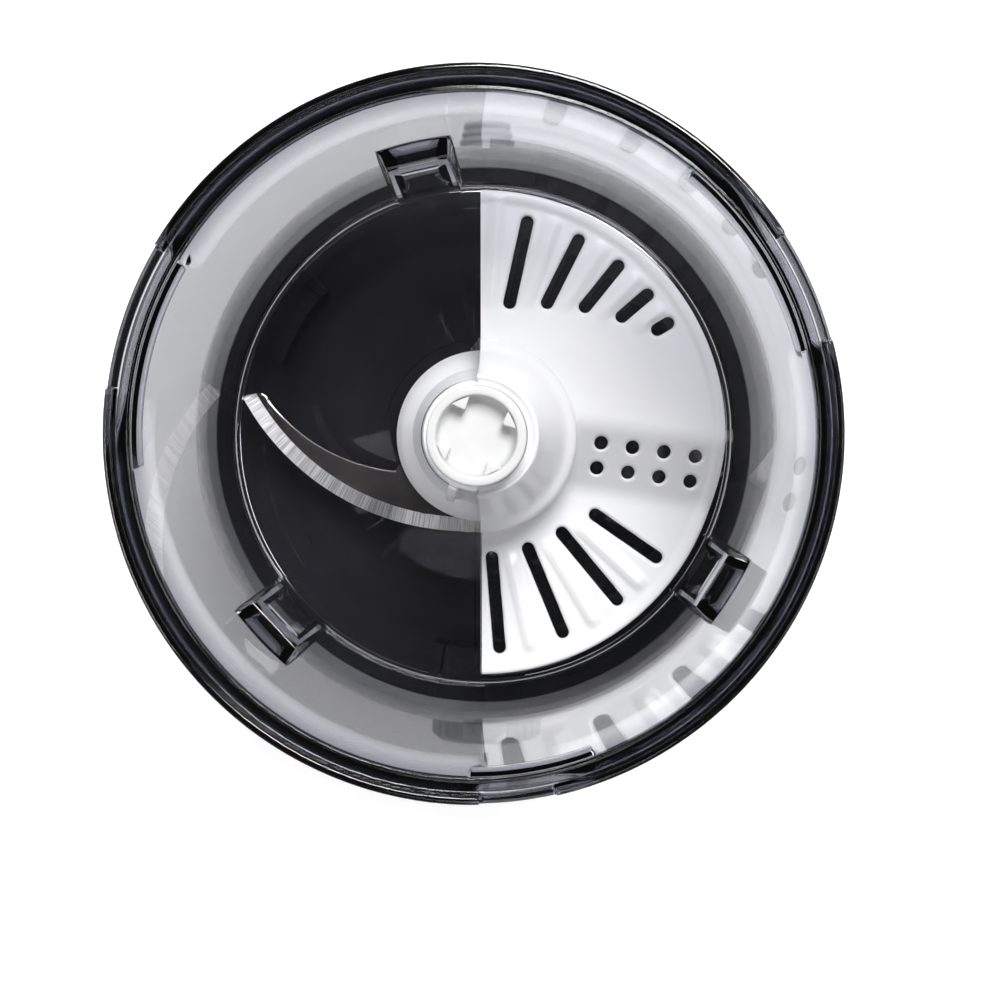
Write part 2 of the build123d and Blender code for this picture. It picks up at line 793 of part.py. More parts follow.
with BuildPart() as hub_cap:
    with BuildSketch(Plane.XY.offset(floor_z + hub_body_top)):
        Circle(cap_radius)
    extrude(amount=cap_top - hub_body_top)
    fillet(hub_cap.edges().group_by(Axis.Z)[-1], 0.8)
    with BuildSketch(Plane.XY.offset(floor_z + cap_top)):
        Circle(recess_radius)
        for angle in [24 + 90 * tooth for tooth in range(4)]:
            with BuildLine():
                Polyline(
                    polar(recess_radius + 0.4, angle - 14),
                    polar(tooth_tip_radius, angle),
                    polar(recess_radius + 0.4, angle + 14),
                    close=True,
                )
            make_face(mode=Mode.SUBTRACT)
    extrude(amount=-recess_depth, mode=Mode.SUBTRACT)
hub_cap.part.label = "hub_cap"
export_step(hub_cap.part, "parts/hub_cap.step")

with BuildPart() as lower_blade:
    with BuildSketch(Plane.XY.offset(floor_z + blade_z)):
        with BuildLine():
            edge = RadiusArc(blade_tip, edge_foot, -edge_radius)
            root = Polyline(edge @ 1, (8, -16), (-8, -8), (-20.3, -6.8))
            heel = ThreePointArc(root @ 1, (-21.0, -7.2), blade_heel)
            back = RadiusArc(heel @ 1, blade_tip_back, back_radius)
            ThreePointArc(back @ 1, blade_tip_middle, blade_tip)
        make_face()
    extrude(amount=blade_thickness)
    # the ground bevel along the convex edge is part of a cone about the edge's own centre
    with BuildSketch(Plane(origin=(*edge_centre, floor_z + blade_z), x_dir=(1, 0, 0), z_dir=(0, -1, 0))):
        with BuildLine():
            Polyline(
                (edge_radius - bevel_width, blade_thickness),
                (edge_radius + 0.5, 0.1),
                (edge_radius + 0.5, blade_thickness + 0.5),
                (edge_radius - bevel_width, blade_thickness + 0.5),
                close=True,
            )
        make_face()
    revolve(axis=Axis((*edge_centre, 0), (0, 0, 1)), mode=Mode.SUBTRACT)
lower_blade.part.label = "lower_blade"
export_step(lower_blade.part, "parts/lower_blade.step")

# the upper arm is the same blade, half a turn round and one step higher
with BuildPart() as upper_blade:
    with Locations((0, 0, upper_blade_step)):
        add(lower_blade.part, rotation=(0, 0, 180))
upper_blade.part.label = "upper_blade"
export_step(upper_blade.part, "parts/upper_blade.step")

# ================================================================ whipping disc
turn_x = sin(radians(disc_turn))
turn_y = cos(radians(disc_turn))


def ramp_plane(start):
    """Upright plane across the ramp: local x runs up the ramp, local y points up."""
    origin = (start * turn_y, -start * turn_x, floor_z)
    return Plane(origin=origin, x_dir=(turn_x, turn_y, 0), z_dir=(turn_y, -turn_x, 0))


def sheet_points(rise):
    """Section of the bent disc: low sector, ramp and high sector, with its top raised by rise."""
    return [
        (-70, disc_low + rise),
        (-9.5, disc_low + rise),
        (7.0, disc_high + rise),
        (70, disc_high + rise),
        (70, disc_high - disc_thickness),
        (7.6, disc_high - disc_thickness),
        (-8.9, disc_low - disc_thickness),
        (-70, disc_low - disc_thickness),
    ]


with BuildPart() as disc_rim:
    with BuildSketch(ramp_plane(-12)):
        with BuildLine():
            Polyline(*sheet_points(1.2), close=True)
        make_face()
    extrude(amount=90)
    with BuildSketch(Plane.XY.offset(floor_z)):
        Circle(disc_radius)
        Circle(disc_radius - 1.3, mode=Mode.SUBTRACT)
    extrude(amount=60, mode=Mode.INTERSECT)

with BuildPart() as disc_half_white:
    with BuildSketch(ramp_plane(-12)):
        with BuildLine():
            Polyline(*sheet_points(0), close=True)
        make_face()
    extrude(amount=90)
    with BuildSketch(Plane.XY.offset(floor_z)):
        Circle(disc_radius - 0.5)
        Circle(collar_radius - 1, mode=Mode.SUBTRACT)
    extrude(amount=60, mode=Mode.INTERSECT)
    add(disc_rim.part)
    # web that closes the step down to the other half's low sector
    with BuildSketch(Plane.XY.offset(floor_z + disc_low - disc_thickness)):
        with Locations((0, collar_radius - 1)):
            Rectangle(1.6, disc_radius - collar_radius, align=(Align.MIN, Align.MIN))
    extrude(amount=disc_high - disc_low)
    # raised flutes between the slots
    for angle, level in [(a, disc_high) for a in upper_ridges] + [(a, disc_low) for a in lower_ridges]:
        with BuildSketch(Plane.XY.offset(floor_z + level)):
            with Locations(Location(polar(42.5, angle, 0), (0, 0, angle))):
                SlotOverall(23, 2.4)
        extrude(amount=0.9, taper=30)
    # conical collar that drops over the hub
    with BuildSketch(radial_plane(-90)):
        with BuildLine():
            Polyline(
                (hub_skirt_radius + 0.4, floor_z + 13),
                (collar_radius, floor_z + 13),
                (collar_radius, floor_z + 20),
                (18.6, floor_z + 26),
                (15.7, floor_z + 42),
                (14.2, floor_z + 60),
                (12.7, floor_z + 60),
                (14.4, floor_z + 38),
                (16.8, floor_z + 22.6),
                (20.2, floor_z + 16),
                close=True,
            )
        make_face()
    revolve(axis=Axis.Z, revolution_arc=180)
    # slots, ramp holes and the slits that let the hub's ribs through
    for angle, start in upper_slots + lower_slots:
        length = disc_slot_end - start + disc_slot_width
        with BuildSketch(Plane.XY.offset(floor_z)):
            with Locations(Location(polar((disc_slot_end + start) / 2, angle, 0), (0, 0, angle))):
                SlotOverall(length, disc_slot_width)
        extrude(amount=60, mode=Mode.SUBTRACT)
    with BuildSketch(Plane.XY.offset(floor_z)):
        with Locations(Location((0, 0, 0), (0, 0, -disc_turn))):
            with Locations([(29 + 7.67 * hole, row) for hole in range(4) for row in (2.5, -3.7)]):
                Circle(1.67)
    extrude(amount=60, mode=Mode.SUBTRACT)
    for angle in (82, 64):
        with BuildSketch(radial_plane(angle)):
            with Locations((15, floor_z + 41)):
                Rectangle(9, 40)
        extrude(amount=1.3, both=True, mode=Mode.SUBTRACT)
    with BuildSketch(Plane.XY.offset(floor_z)):
        with Locations((seam_gap, 0)):
            Rectangle(80, 130, align=(Align.MIN, Align.CENTER))
    extrude(amount=80, mode=Mode.INTERSECT)
disc_half_white.part.label = "disc_half_white"
export_step(disc_half_white.part, "parts/disc_half_white.step")

# the clear half is the same moulding, half a turn round
with BuildPart() as disc_half_clear:
    add(disc_half_white.part, rotation=(0, 0, 180))
disc_half_clear.part.label = "disc_half_clear"
export_step(disc_half_clear.part, "parts/disc_half_clear.step")

# ================================================================ controls
with BuildPart() as speed_knob:
    with BuildSketch(Plane.XZ.offset(knob_back)):
        with Locations((0, knob_z)):
            Circle(knob_radius)
    extrude(amount=8)
    fillet(speed_knob.edges().group_by(Axis.Y)[0], 1.5)
    with BuildSketch(Plane.XZ.offset(knob_back)):
        with Locations((0, knob_z)):
            SlotOverall(2 * knob_radius - 2, 6, rotation=90)
    extrude(amount=knob_front - knob_back)
    fillet(speed_knob.edges().group_by(Axis.Y)[0], 1)
    with BuildSketch(Plane.XZ.offset(knob_back)):
        with Locations((0, knob_z)):
            Circle(3)
    extrude(amount=-15)
    with BuildSketch(Plane.XZ.offset(knob_front)):
        with Locations((0, knob_z + 9)):
            SlotOverall(6, 1.6, rotation=90)
    extrude(amount=-1, mode=Mode.SUBTRACT)
speed_knob.part.label = "speed_knob"
export_step(speed_knob.part, "parts/speed_knob.step")

with BuildPart() as knob_marker:
    with BuildSketch(Plane.XZ.offset(knob_front - 1)):
        with Locations((0, knob_z + 9)):
            SlotOverall(5.9, 1.5, rotation=90)
    extrude(amount=0.9)
knob_marker.part.label = "knob_marker"
export_step(knob_marker.part, "parts/knob_marker.step")

with BuildPart() as pulse_button:
    with BuildSketch(Plane.XZ.offset(button_flange + 1.4)):
        with Locations((0, button_z)):
            Circle(button_radius)
    extrude(amount=9.6)
    fillet(pulse_button.edges().group_by(Axis.Y)[0], 1)
    with BuildSketch(Plane.XZ.offset(button_flange)):
        with Locations((0, button_z)):
            Circle(button_radius + 1.2)
    extrude(amount=1.4)
    with BuildSketch(Plane.XZ.offset(button_flange - 3)):
        with Locations((0, button_z)):
            Circle(1.5)
    extrude(amount=3)
pulse_button.part.label = "pulse_button"
export_step(pulse_button.part, "parts/pulse_button.step")

with BuildPart() as interlock_pin:
    with BuildSketch(Plane.XY.offset(interlock_top + 0.4)):
        with Locations((interlock_x, 0)):
            Circle(pin_radius)
    extrude(amount=deck_top - interlock_top - 0.4)
    with BuildSketch(Plane.XY.offset(interlock_top + 7)):
        with Locations((interlock_x, 0)):
            Circle(3.1)
    extrude(amount=1.4)
interlock_pin.part.label = "interlock_pin"
export_step(interlock_pin.part, "parts/interlock_pin.step")

with BuildPart() as interlock_spring:
    with BuildLine():
        coil = Helix(pitch=1.5, height=5.7, radius=2.5, center=(interlock_x, 0, interlock_top + 0.6))
    with BuildSketch(Plane(origin=coil @ 0, z_dir=coil % 0)):
        Circle(0.3)
    sweep(is_frenet=True)
interlock_spring.part.label = "interlock_spring"
export_step(interlock_spring.part, "parts/interlock_spring.step")
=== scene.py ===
"""Looks of the compact food processor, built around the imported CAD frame.

Mesh code is in millimetres and pieces are made in metres. Lights, camera and floor are in metres."""
import json
from math import atan2, cos, hypot, pi, radians, sin, tan

import bmesh
import bpy
from mathutils import Matrix, Vector


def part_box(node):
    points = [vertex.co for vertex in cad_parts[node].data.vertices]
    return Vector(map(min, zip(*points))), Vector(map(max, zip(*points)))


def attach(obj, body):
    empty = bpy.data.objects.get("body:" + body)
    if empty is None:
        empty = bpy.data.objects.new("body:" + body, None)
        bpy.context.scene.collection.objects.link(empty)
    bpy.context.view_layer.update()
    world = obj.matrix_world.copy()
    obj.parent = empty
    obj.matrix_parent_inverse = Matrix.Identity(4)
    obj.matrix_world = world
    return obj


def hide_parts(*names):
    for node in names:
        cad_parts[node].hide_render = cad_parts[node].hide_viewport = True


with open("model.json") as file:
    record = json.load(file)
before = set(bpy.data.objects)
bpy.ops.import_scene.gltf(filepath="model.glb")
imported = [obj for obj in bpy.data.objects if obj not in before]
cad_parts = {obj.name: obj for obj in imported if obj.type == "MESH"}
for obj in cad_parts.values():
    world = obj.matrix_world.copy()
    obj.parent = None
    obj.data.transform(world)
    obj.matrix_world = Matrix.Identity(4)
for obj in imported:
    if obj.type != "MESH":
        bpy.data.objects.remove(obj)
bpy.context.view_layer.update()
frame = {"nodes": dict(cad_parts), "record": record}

MM = 0.001


# ------------------------------------------------------------------ places taken from the frame
def corner(node, side, axis):
    """One coordinate of a node's box in millimetres: side 0 is the lowest corner, 1 the highest."""
    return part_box(node)[side][axis] / MM


RIM_TOP = corner("bowl", 1, 2)
RIM_RADIUS = corner("bowl", 1, 0)
SKIRT_FOOT = corner("bowl", 0, 2)
BOWL_DEPTH = 105.0
FLOOR = RIM_TOP - BOWL_DEPTH
FLOOR_RADIUS = 63.5
WALL_TAPER = 6.0
BASE_RADIUS = corner("housing", 1, 0)
DECK_TOP = SKIRT_FOOT - 0.3
CAP_TOP = corner("hub_cap", 1, 2)
CAP_FOOT = corner("hub_cap", 0, 2)
BLADE_LOW = corner("lower_blade", 0, 2)
BLADE_STEP = corner("upper_blade", 0, 2) - BLADE_LOW
BLADE_THICKNESS = corner("lower_blade", 1, 2) - BLADE_LOW
DISC_RADIUS = corner("disc_half_white", 1, 0)
KNOB_FRONT = corner("speed_knob", 0, 1)
KNOB_RADIUS = corner("speed_knob", 1, 0)
KNOB_Z = (corner("speed_knob", 0, 2) + corner("speed_knob", 1, 2)) / 2
BUTTON_FRONT = corner("pulse_button", 0, 1)
BUTTON_Z = (corner("pulse_button", 0, 2) + corner("pulse_button", 1, 2)) / 2
KNOB_BACK = 80.6
BUTTON_BACK = 73
GLAND_END = corner("cable_gland", 1, 1)
GLAND_Z = (corner("cable_gland", 0, 2) + corner("cable_gland", 1, 2)) / 2

BLOCK_ANGLES = (102.5, 223.0, 328.3)
LID_LUGS = ((32.3, 36.5), (167.5, 36.5), (280.2, 22.2))


# ------------------------------------------------------------------ mesh helpers
def smoothstep(low, high, value):
    share = min(max((value - low) / (high - low), 0.0), 1.0)
    return share * share * (3 - 2 * share)


def lerp(a, b, share):
    return a + (b - a) * share


def polar(radius, angle):
    return radius * cos(radians(angle)), radius * sin(radians(angle))


def rounded(corners, steps=4, closed=True):
    """Outline with filleted corners. Each corner is (x, y, fillet radius)."""
    points = []
    count = len(corners)
    for i, (x, y, radius) in enumerate(corners):
        ends = not closed and i in (0, count - 1)
        if radius <= 0 or ends:
            points.append((x, y))
            continue
        here = Vector((x, y))
        back = Vector(corners[i - 1][:2]) - here
        ahead = Vector(corners[(i + 1) % count][:2]) - here
        half = back.angle(ahead) / 2
        reach = min(radius / tan(half), 0.49 * back.length, 0.49 * ahead.length)
        start = here + back.normalized() * reach
        end = here + ahead.normalized() * reach
        for k in range(steps + 1):
            share = k / steps
            low = start.lerp(here, share)
            high = here.lerp(end, share)
            point = low.lerp(high, share)
            points.append((point.x, point.y))
    return points


def spread(low, high, count):
    return [lerp(low, high, i / (count - 1)) for i in range(count)]


def piece(name, vertices, faces, body, slot, material, replaced=(), sharp=35):
    """Makes a visible piece from vertices in millimetres."""
    mesh = bpy.data.meshes.new(name)
    mesh.from_pydata([(x * MM, y * MM, z * MM) for x, y, z in vertices], [], faces)
    mesh.validate()
    bm = bmesh.new()
    bm.from_mesh(mesh)
    bmesh.ops.recalc_face_normals(bm, faces=bm.faces)
    bm.to_mesh(mesh)
    bm.free()
    found = bpy.data.objects.new(name, mesh)
    bpy.context.scene.collection.objects.link(found)
    dress(found, body, material, replaced, sharp)
    return found


def dress(found, body, material, replaced=(), sharp=35):
    """Gives a piece its material, soft shading and body, and hides the CAD parts it replaces."""
    found.data.materials.clear()
    found.data.materials.append(material)
    shade(found.data, sharp)
    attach(found, body)
    if replaced:
        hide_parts(*replaced)


def shade(mesh, sharp):
    mesh.polygons.foreach_set("use_smooth", [True] * len(mesh.polygons))
    mesh.set_sharp_from_angle(angle=radians(sharp))


def turned(profile, segments, radius_at=None, closed=True):
    """Turns a profile of (radius, height) about +Z. Points on the axis become one vertex."""
    vertices = []
    rings = []
    for j, (radius, height) in enumerate(profile):
        if radius < 1e-6:
            rings.append([len(vertices)] * segments)
            vertices.append((0.0, 0.0, height))
            continue
        rings.append(list(range(len(vertices), len(vertices) + segments)))
        for i in range(segments):
            angle = 2 * pi * i / segments
            reach = radius_at(j, angle, radius) if radius_at else radius
            vertices.append((reach * cos(angle), reach * sin(angle), height))
    faces = []
    last = len(profile) if closed else len(profile) - 1
    for j in range(last):
        low, high = rings[j], rings[(j + 1) % len(profile)]
        for i in range(segments):
            k = (i + 1) % segments
            loop = [low[i], low[k], high[k], high[i]]
            loop = [v for n, v in enumerate(loop) if v not in loop[:n]]
            if len(loop) > 2:
                faces.append(loop)
    return vertices, faces


def prism(outline, low, high):
    """Vertices and faces of an upright prism over a convex outline."""
    count = len(outline)
    vertices = [(x, y, low) for x, y in outline] + [(x, y, high) for x, y in outline]
    faces = [list(range(count - 1, -1, -1)), list(range(count, 2 * count))]
    faces += [[i, (i + 1) % count, (i + 1) % count + count, i + count] for i in range(count)]
    return vertices, faces


def capsule(length, width, steps=8):
    """Outline of a slot with round ends, centred, along x."""
    reach = (length - width) / 2
    right = [(reach + width / 2 * cos(a), width / 2 * sin(a)) for a in spread(-pi / 2, pi / 2, steps + 1)]
    return right + [(-x, -y) for x, y in right]


def moved(vertices, matrix):
    return [tuple(matrix @ Vector(v)) for v in vertices]


def joined(*parts):
    """Joins several (vertices, faces) into one."""
    vertices, faces = [], []
    for more_vertices, more_faces in parts:
        start = len(vertices)
        vertices += more_vertices
        faces += [[v + start for v in face] for face in more_faces]
    return vertices, faces


def scratch(vertices, faces):
    """A helper object for booleans, removed after use."""
    mesh = bpy.data.meshes.new("scratch")
    mesh.from_pydata([(x * MM, y * MM, z * MM) for x, y, z in vertices], [], faces)
    bm = bmesh.new()
    bm.from_mesh(mesh)
    bmesh.ops.recalc_face_normals(bm, faces=bm.faces)
    bm.to_mesh(mesh)
    bm.free()
    found = bpy.data.objects.new("scratch", mesh)
    bpy.context.scene.collection.objects.link(found)
    return found


def applied(found):
    """Applies every modifier of an object."""
    bpy.context.view_layer.update()
    graph = bpy.context.evaluated_depsgraph_get()
    mesh = bpy.data.meshes.new_from_object(found.evaluated_get(graph))
    found.modifiers.clear()
    found.data = mesh
    return found


def cut(found, cutters, solver="EXACT"):
    """Takes closed shapes, each (vertices, faces), out of an object."""
    tool = scratch(*joined(*cutters))
    modifier = found.modifiers.new("cut", "BOOLEAN")
    modifier.operation = "DIFFERENCE"
    modifier.solver = solver
    modifier.object = tool
    applied(found)
    bpy.data.objects.remove(tool)
    return found


def add_shape(found, part):
    """Adds a closed shape, (vertices, faces), to an object's mesh."""
    extra = scratch(*part)
    bm = bmesh.new()
    bm.from_mesh(found.data)
    bm.from_mesh(extra.data)
    bm.to_mesh(found.data)
    bm.free()
    bpy.data.objects.remove(extra)


def soften(found, width, segments=2, limit=40):
    """Rounds the sharp edges of an object."""
    modifier = found.modifiers.new("soften", "BEVEL")
    modifier.width = width * MM
    modifier.segments = segments
    modifier.limit_method = "ANGLE"
    modifier.angle_limit = radians(limit)
    return applied(found)


# ------------------------------------------------------------------ materials
class Graph:
    """A small helper to write a material's nodes."""

    def __init__(self, name):
        self.material = bpy.data.materials.new(name)
        self.material.use_nodes = True
        self.tree = self.material.node_tree
        self.tree.nodes.clear()
        self.output = self.add("ShaderNodeOutputMaterial")
        self.place = self.add("ShaderNodeTexCoord").outputs["Object"]

    def add(self, kind, inputs=None, **settings):
        node = self.tree.nodes.new(kind)
        for key, value in settings.items():
            setattr(node, key, value)
        for key, value in (inputs or {}).items():
            if isinstance(value, bpy.types.NodeSocket):
                self.tree.links.new(value, node.inputs[key])
            else:
                node.inputs[key].default_value = value
        return node

    def link(self, source, node, key):
        self.tree.links.new(source, node.inputs[key])

    def noise(self, size, detail=4.0, roughness=0.5, stretch=(1, 1, 1)):
        """Noise whose blobs are about size millimetres across."""
        mapping = self.add("ShaderNodeMapping", {"Vector": self.place, "Scale": stretch})
        inputs = {
            "Vector": mapping.outputs[0], "Scale": 1 / (size * MM), "Detail": detail, "Roughness": roughness,
        }
        return self.add("ShaderNodeTexNoise", inputs).outputs[0]

    def ramp(self, value, low, high, start=0.3, end=0.7):
        inputs = {"Value": value, "From Min": start, "From Max": end, "To Min": low, "To Max": high}
        return self.add("ShaderNodeMapRange", inputs).outputs[0]

    def mix(self, share, first, second):
        node = self.add("ShaderNodeMix", data_type="RGBA")
        for key, value in ((0, share), (6, first), (7, second)):
            if isinstance(value, bpy.types.NodeSocket):
                self.tree.links.new(value, node.inputs[key])
            elif key == 0:
                node.inputs[key].default_value = value
            else:
                node.inputs[key].default_value = (*value, 1)
        return node.outputs[2]

    def math(self, operation, first, second=0.0):
        node = self.add("ShaderNodeMath", operation=operation)
        for key, value in ((0, first), (1, second)):
            if isinstance(value, bpy.types.NodeSocket):
                self.tree.links.new(value, node.inputs[key])
            else:
                node.inputs[key].default_value = value
        return node.outputs[0]

    def bump(self, height, depth):
        inputs = {"Height": height, "Distance": depth * MM, "Strength": 1.0}
        return self.add("ShaderNodeBump", inputs).outputs[0]

    def principled(self, **inputs):
        node = self.add("ShaderNodeBsdfPrincipled", inputs)
        self.link(node.outputs[0], self.output, "Surface")
        return node


def colour_and_depth(graph, colour, other, patch, rough, grain, depth):
    """Base colour, roughness and normal sockets shared by the plain materials."""
    cloud = graph.noise(patch, 3.0)
    speck = graph.noise(grain, 2.0)
    base = graph.mix(graph.ramp(cloud, 0, 1), colour, other)
    return {
        "Base Color": base,
        "Roughness": graph.ramp(graph.noise(patch / 4, 5.0), *rough),
        "Normal": graph.bump(speck, depth),
    }


def plastic(name, colour, other, rough, grain=0.8, depth=0.012, patch=25.0, coat=0.0, ior=1.5):
    """Moulded plastic: slight clouds in its colour, a fine moulded grain and uneven gloss."""
    graph = Graph(name)
    sockets = colour_and_depth(graph, colour, other, patch, rough, grain, depth)
    node = graph.principled(**sockets)
    node.inputs["IOR"].default_value = ior
    node.inputs["Coat Weight"].default_value = coat
    node.inputs["Coat Roughness"].default_value = 0.06
    return graph.material


def metal(name, colour, other, rough, stretch=(1, 1, 1), grain=0.5, depth=0.006, patch=6.0):
    """Machined or drawn metal with fine lines along the unstretched axis."""
    graph = Graph(name)
    lines = graph.noise(grain, 3.0, 0.6, stretch)
    cloud = graph.noise(patch, 3.0)
    base = graph.mix(graph.ramp(cloud, 0, 1), colour, other)
    node = graph.principled(
        **{"Base Color": base, "Roughness": graph.ramp(lines, *rough), "Normal": graph.bump(lines, depth)}
    )
    node.inputs["Metallic"].default_value = 1.0
    return graph.material


def clear(name, tint, shadow, ior, rough, absorb=None, density=0.0):
    """Clear moulded plastic with faint flow lines; its colour comes from absorption through its thickness."""
    graph = Graph(name)
    flow = graph.noise(14.0, 3.0, 0.5, (1, 1, 0.35))
    fine = graph.noise(0.7, 2.0)
    ripple = graph.bump(flow, 0.0015)
    node = graph.add(
        "ShaderNodeBsdfPrincipled",
        {"Base Color": (*tint, 1), "Roughness": graph.ramp(fine, *rough), "Normal": ripple},
    )
    node.inputs["Transmission Weight"].default_value = 1.0
    node.inputs["IOR"].default_value = ior
    path = graph.add("ShaderNodeLightPath").outputs["Is Shadow Ray"]
    passing = graph.add("ShaderNodeBsdfTransparent", {"Color": (*shadow, 1)}).outputs[0]
    mixed = graph.add("ShaderNodeMixShader")
    graph.link(path, mixed, 0)
    graph.link(node.outputs[0], mixed, 1)
    graph.link(passing, mixed, 2)
    graph.link(mixed.outputs[0], graph.output, "Surface")
    if absorb:
        volume = graph.add("ShaderNodeVolumeAbsorption", {"Color": (*absorb, 1), "Density": density})
        graph.link(volume.outputs[0], graph.output, "Volume")
    return graph.material


def ground_steel(name, centre):
    """Blade steel: lengthwise polish on the flat, grinding lines across the bevel, and a painted highlight on
    the bevel that is bright towards the tip and fades to near-black painted shade towards the root.
    """
    graph = Graph(name)
    split = graph.add("ShaderNodeSeparateXYZ", {"Vector": graph.place})
    x = graph.math("SUBTRACT", split.outputs[0], centre[0] * MM)
    y = graph.math("SUBTRACT", split.outputs[1], centre[1] * MM)
    angle = graph.math("ARCTAN2", y, x)
    reach = graph.math("SQRT", graph.math("ADD", graph.math("MULTIPLY", x, x), graph.math("MULTIPLY", y, y)))
    grind_place = graph.add(
        "ShaderNodeCombineXYZ",
        {"X": graph.math("MULTIPLY", angle, 230.0), "Y": graph.math("MULTIPLY", reach, 60.0)},
    )
    grind = graph.add(
        "ShaderNodeTexNoise",
        {"Vector": grind_place.outputs[0], "Scale": 1.0, "Detail": 4.0, "Roughness": 0.7},
    ).outputs[0]
    polish_place = graph.add(
        "ShaderNodeCombineXYZ",
        {"X": graph.math("MULTIPLY", angle, 9.0), "Y": graph.math("MULTIPLY", reach, 2500.0)},
    )
    polish = graph.add(
        "ShaderNodeTexNoise", {"Vector": polish_place.outputs[0], "Scale": 1.0, "Detail": 3.0}
    ).outputs[0]
    bevel = graph.ramp(reach, 0, 1, (EDGE_RADIUS - BEVEL - 0.05) * MM, (EDGE_RADIUS - BEVEL + 0.05) * MM)
    cloud = graph.noise(9.0, 4.0)
    flat = graph.mix(graph.ramp(cloud, 0, 1), (0.13, 0.123, 0.122), (0.19, 0.18, 0.18))
    # painted highlight and shade: the bevel's colour is set by the angle along the edge, bright towards the
    # tip and near black towards the root
    painted_tip_highlight = graph.ramp(graph.math("ABSOLUTE", angle), 0.16, 1.0, start=1.65, end=2.08)
    lines = graph.ramp(grind, 0, 1, start=0.42, end=0.58)
    ground = graph.mix(lines, (0.42, 0.413, 0.406), (0.97, 0.96, 0.95))
    ground = graph.mix(painted_tip_highlight, (0.05, 0.049, 0.048), ground)
    height = graph.math("ADD", graph.math("MULTIPLY", grind, bevel), graph.math("MULTIPLY", polish, 0.04))
    node = graph.principled(
        **{
            "Base Color": graph.mix(bevel, flat, ground),
            "Roughness": graph.math(
                "ADD", graph.ramp(polish, 0.20, 0.26), graph.math("MULTIPLY", bevel, 0.10)
            ),
            "Normal": graph.bump(height, 0.02),
        }
    )
    node.inputs["Metallic"].default_value = 1.0
    return graph.material


def board_material(name):
    """Green circuit board with lighter tracks under the lacquer."""
    graph = Graph(name)
    tracks = graph.add(
        "ShaderNodeTexBrick",
        {"Vector": graph.place, "Scale": 140.0, "Mortar Size": 0.03, "Color1": (0.02, 0.13, 0.06, 1),
         "Color2": (0.02, 0.15, 0.07, 1), "Mortar": (0.05, 0.26, 0.12, 1)},
    )
    graph.principled(
        **{
            "Base Color": tracks.outputs[0],
            "Roughness": graph.ramp(graph.noise(5.0), 0.25, 0.4),
            "Normal": graph.bump(tracks.outputs[1], 0.03),
        }
    )
    return graph.material


def winding_material(name):
    """Enamelled copper wire laid side by side."""
    graph = Graph(name)
    turns = graph.add(
        "ShaderNodeTexWave",
        {"Vector": graph.place, "Scale": 420.0, "Distortion": 1.5, "Detail": 2.0},
        bands_direction="Z",
    ).outputs[1]
    base = graph.mix(turns, (0.42, 0.14, 0.05), (0.75, 0.33, 0.14))
    node = graph.principled(
        **{
            "Base Color": base,
            "Roughness": graph.ramp(graph.noise(2.0), 0.25, 0.4),
            "Normal": graph.bump(turns, 0.15),
        }
    )
    node.inputs["Metallic"].default_value = 0.85
    return graph.material


def laminated_material(name):
    """Stacked core sheets, seen as fine horizontal lines."""
    graph = Graph(name)
    sheets = graph.add(
        "ShaderNodeTexWave", {"Vector": graph.place, "Scale": 300.0, "Distortion": 0.2}, bands_direction="Z"
    ).outputs[1]
    base = graph.mix(sheets, (0.16, 0.16, 0.17), (0.34, 0.34, 0.35))
    node = graph.principled(
        **{
            "Base Color": base,
            "Roughness": graph.ramp(graph.noise(4.0), 0.45, 0.65),
            "Normal": graph.bump(sheets, 0.08),
        }
    )
    node.inputs["Metallic"].default_value = 0.8
    return graph.material


EDGE_CENTRE = (-3.8, 40.2)
EDGE_RADIUS = 64.2
BACK_RADIUS = 45.1
BEVEL = 3.6

white_shell = plastic(
    "white_shell", (0.41, 0.412, 0.418), (0.45, 0.452, 0.457), (0.16, 0.26), 0.9, 0.008, 30, coat=0.3
)
black_deck = plastic(
    "black_deck", (0.010, 0.010, 0.013), (0.015, 0.015, 0.019), (0.55, 0.68), 0.5, 0.02, 12, ior=1.32
)
dark_plastic = plastic("dark_plastic", (0.035, 0.035, 0.04), (0.05, 0.05, 0.055), (0.45, 0.6), 0.5, 0.04)
foot_rubber = plastic("foot_rubber", (0.02, 0.02, 0.02), (0.03, 0.03, 0.03), (0.65, 0.85), 0.3, 0.05, 8)
seal_rubber = plastic("seal_rubber", (0.016, 0.016, 0.016), (0.025, 0.025, 0.025), (0.55, 0.75), 0.3, 0.04, 6)
screw_steel = metal("screw_steel", (0.56, 0.56, 0.57), (0.66, 0.66, 0.67), (0.22, 0.36))
plate_steel = metal("plate_steel", (0.50, 0.51, 0.52), (0.60, 0.61, 0.62), (0.28, 0.42), (1, 12, 1), 6, 0.01)
bronze = metal("bronze", (0.55, 0.37, 0.16), (0.64, 0.45, 0.22), (0.3, 0.45))
shaft_steel = metal("shaft_steel", (0.62, 0.62, 0.63), (0.72, 0.72, 0.73), (0.16, 0.28), (1, 1, 10), 4, 0.006)
brass_tube = metal("brass_tube", (0.68, 0.52, 0.24), (0.76, 0.60, 0.31), (0.2, 0.34))
core_steel = laminated_material("core_steel")
copper = winding_material("copper")
carbon = plastic("carbon", (0.03, 0.03, 0.03), (0.06, 0.06, 0.06), (0.5, 0.7), 0.3, 0.04, 3)
board = board_material("board")
terminal_plastic = plastic("terminal_plastic", (0.72, 0.70, 0.64), (0.78, 0.76, 0.71), (0.35, 0.5))
gland_plastic = plastic("gland_plastic", (0.66, 0.67, 0.68), (0.72, 0.73, 0.74), (0.35, 0.55), 0.4, 0.03, 10)
gear_plastic = plastic("gear_plastic", (0.74, 0.71, 0.62), (0.80, 0.77, 0.69), (0.3, 0.45))
smoked_clear = clear(
    "smoked_clear", (0.97, 0.97, 0.978), (0.80, 0.80, 0.81), 1.55, (0.0, 0.03), (0.30, 0.305, 0.37), 208.0
)
disc_clear = clear("disc_clear", (0.995, 0.995, 0.995), (0.99, 0.99, 0.99), 1.002, (0.0, 0.01))
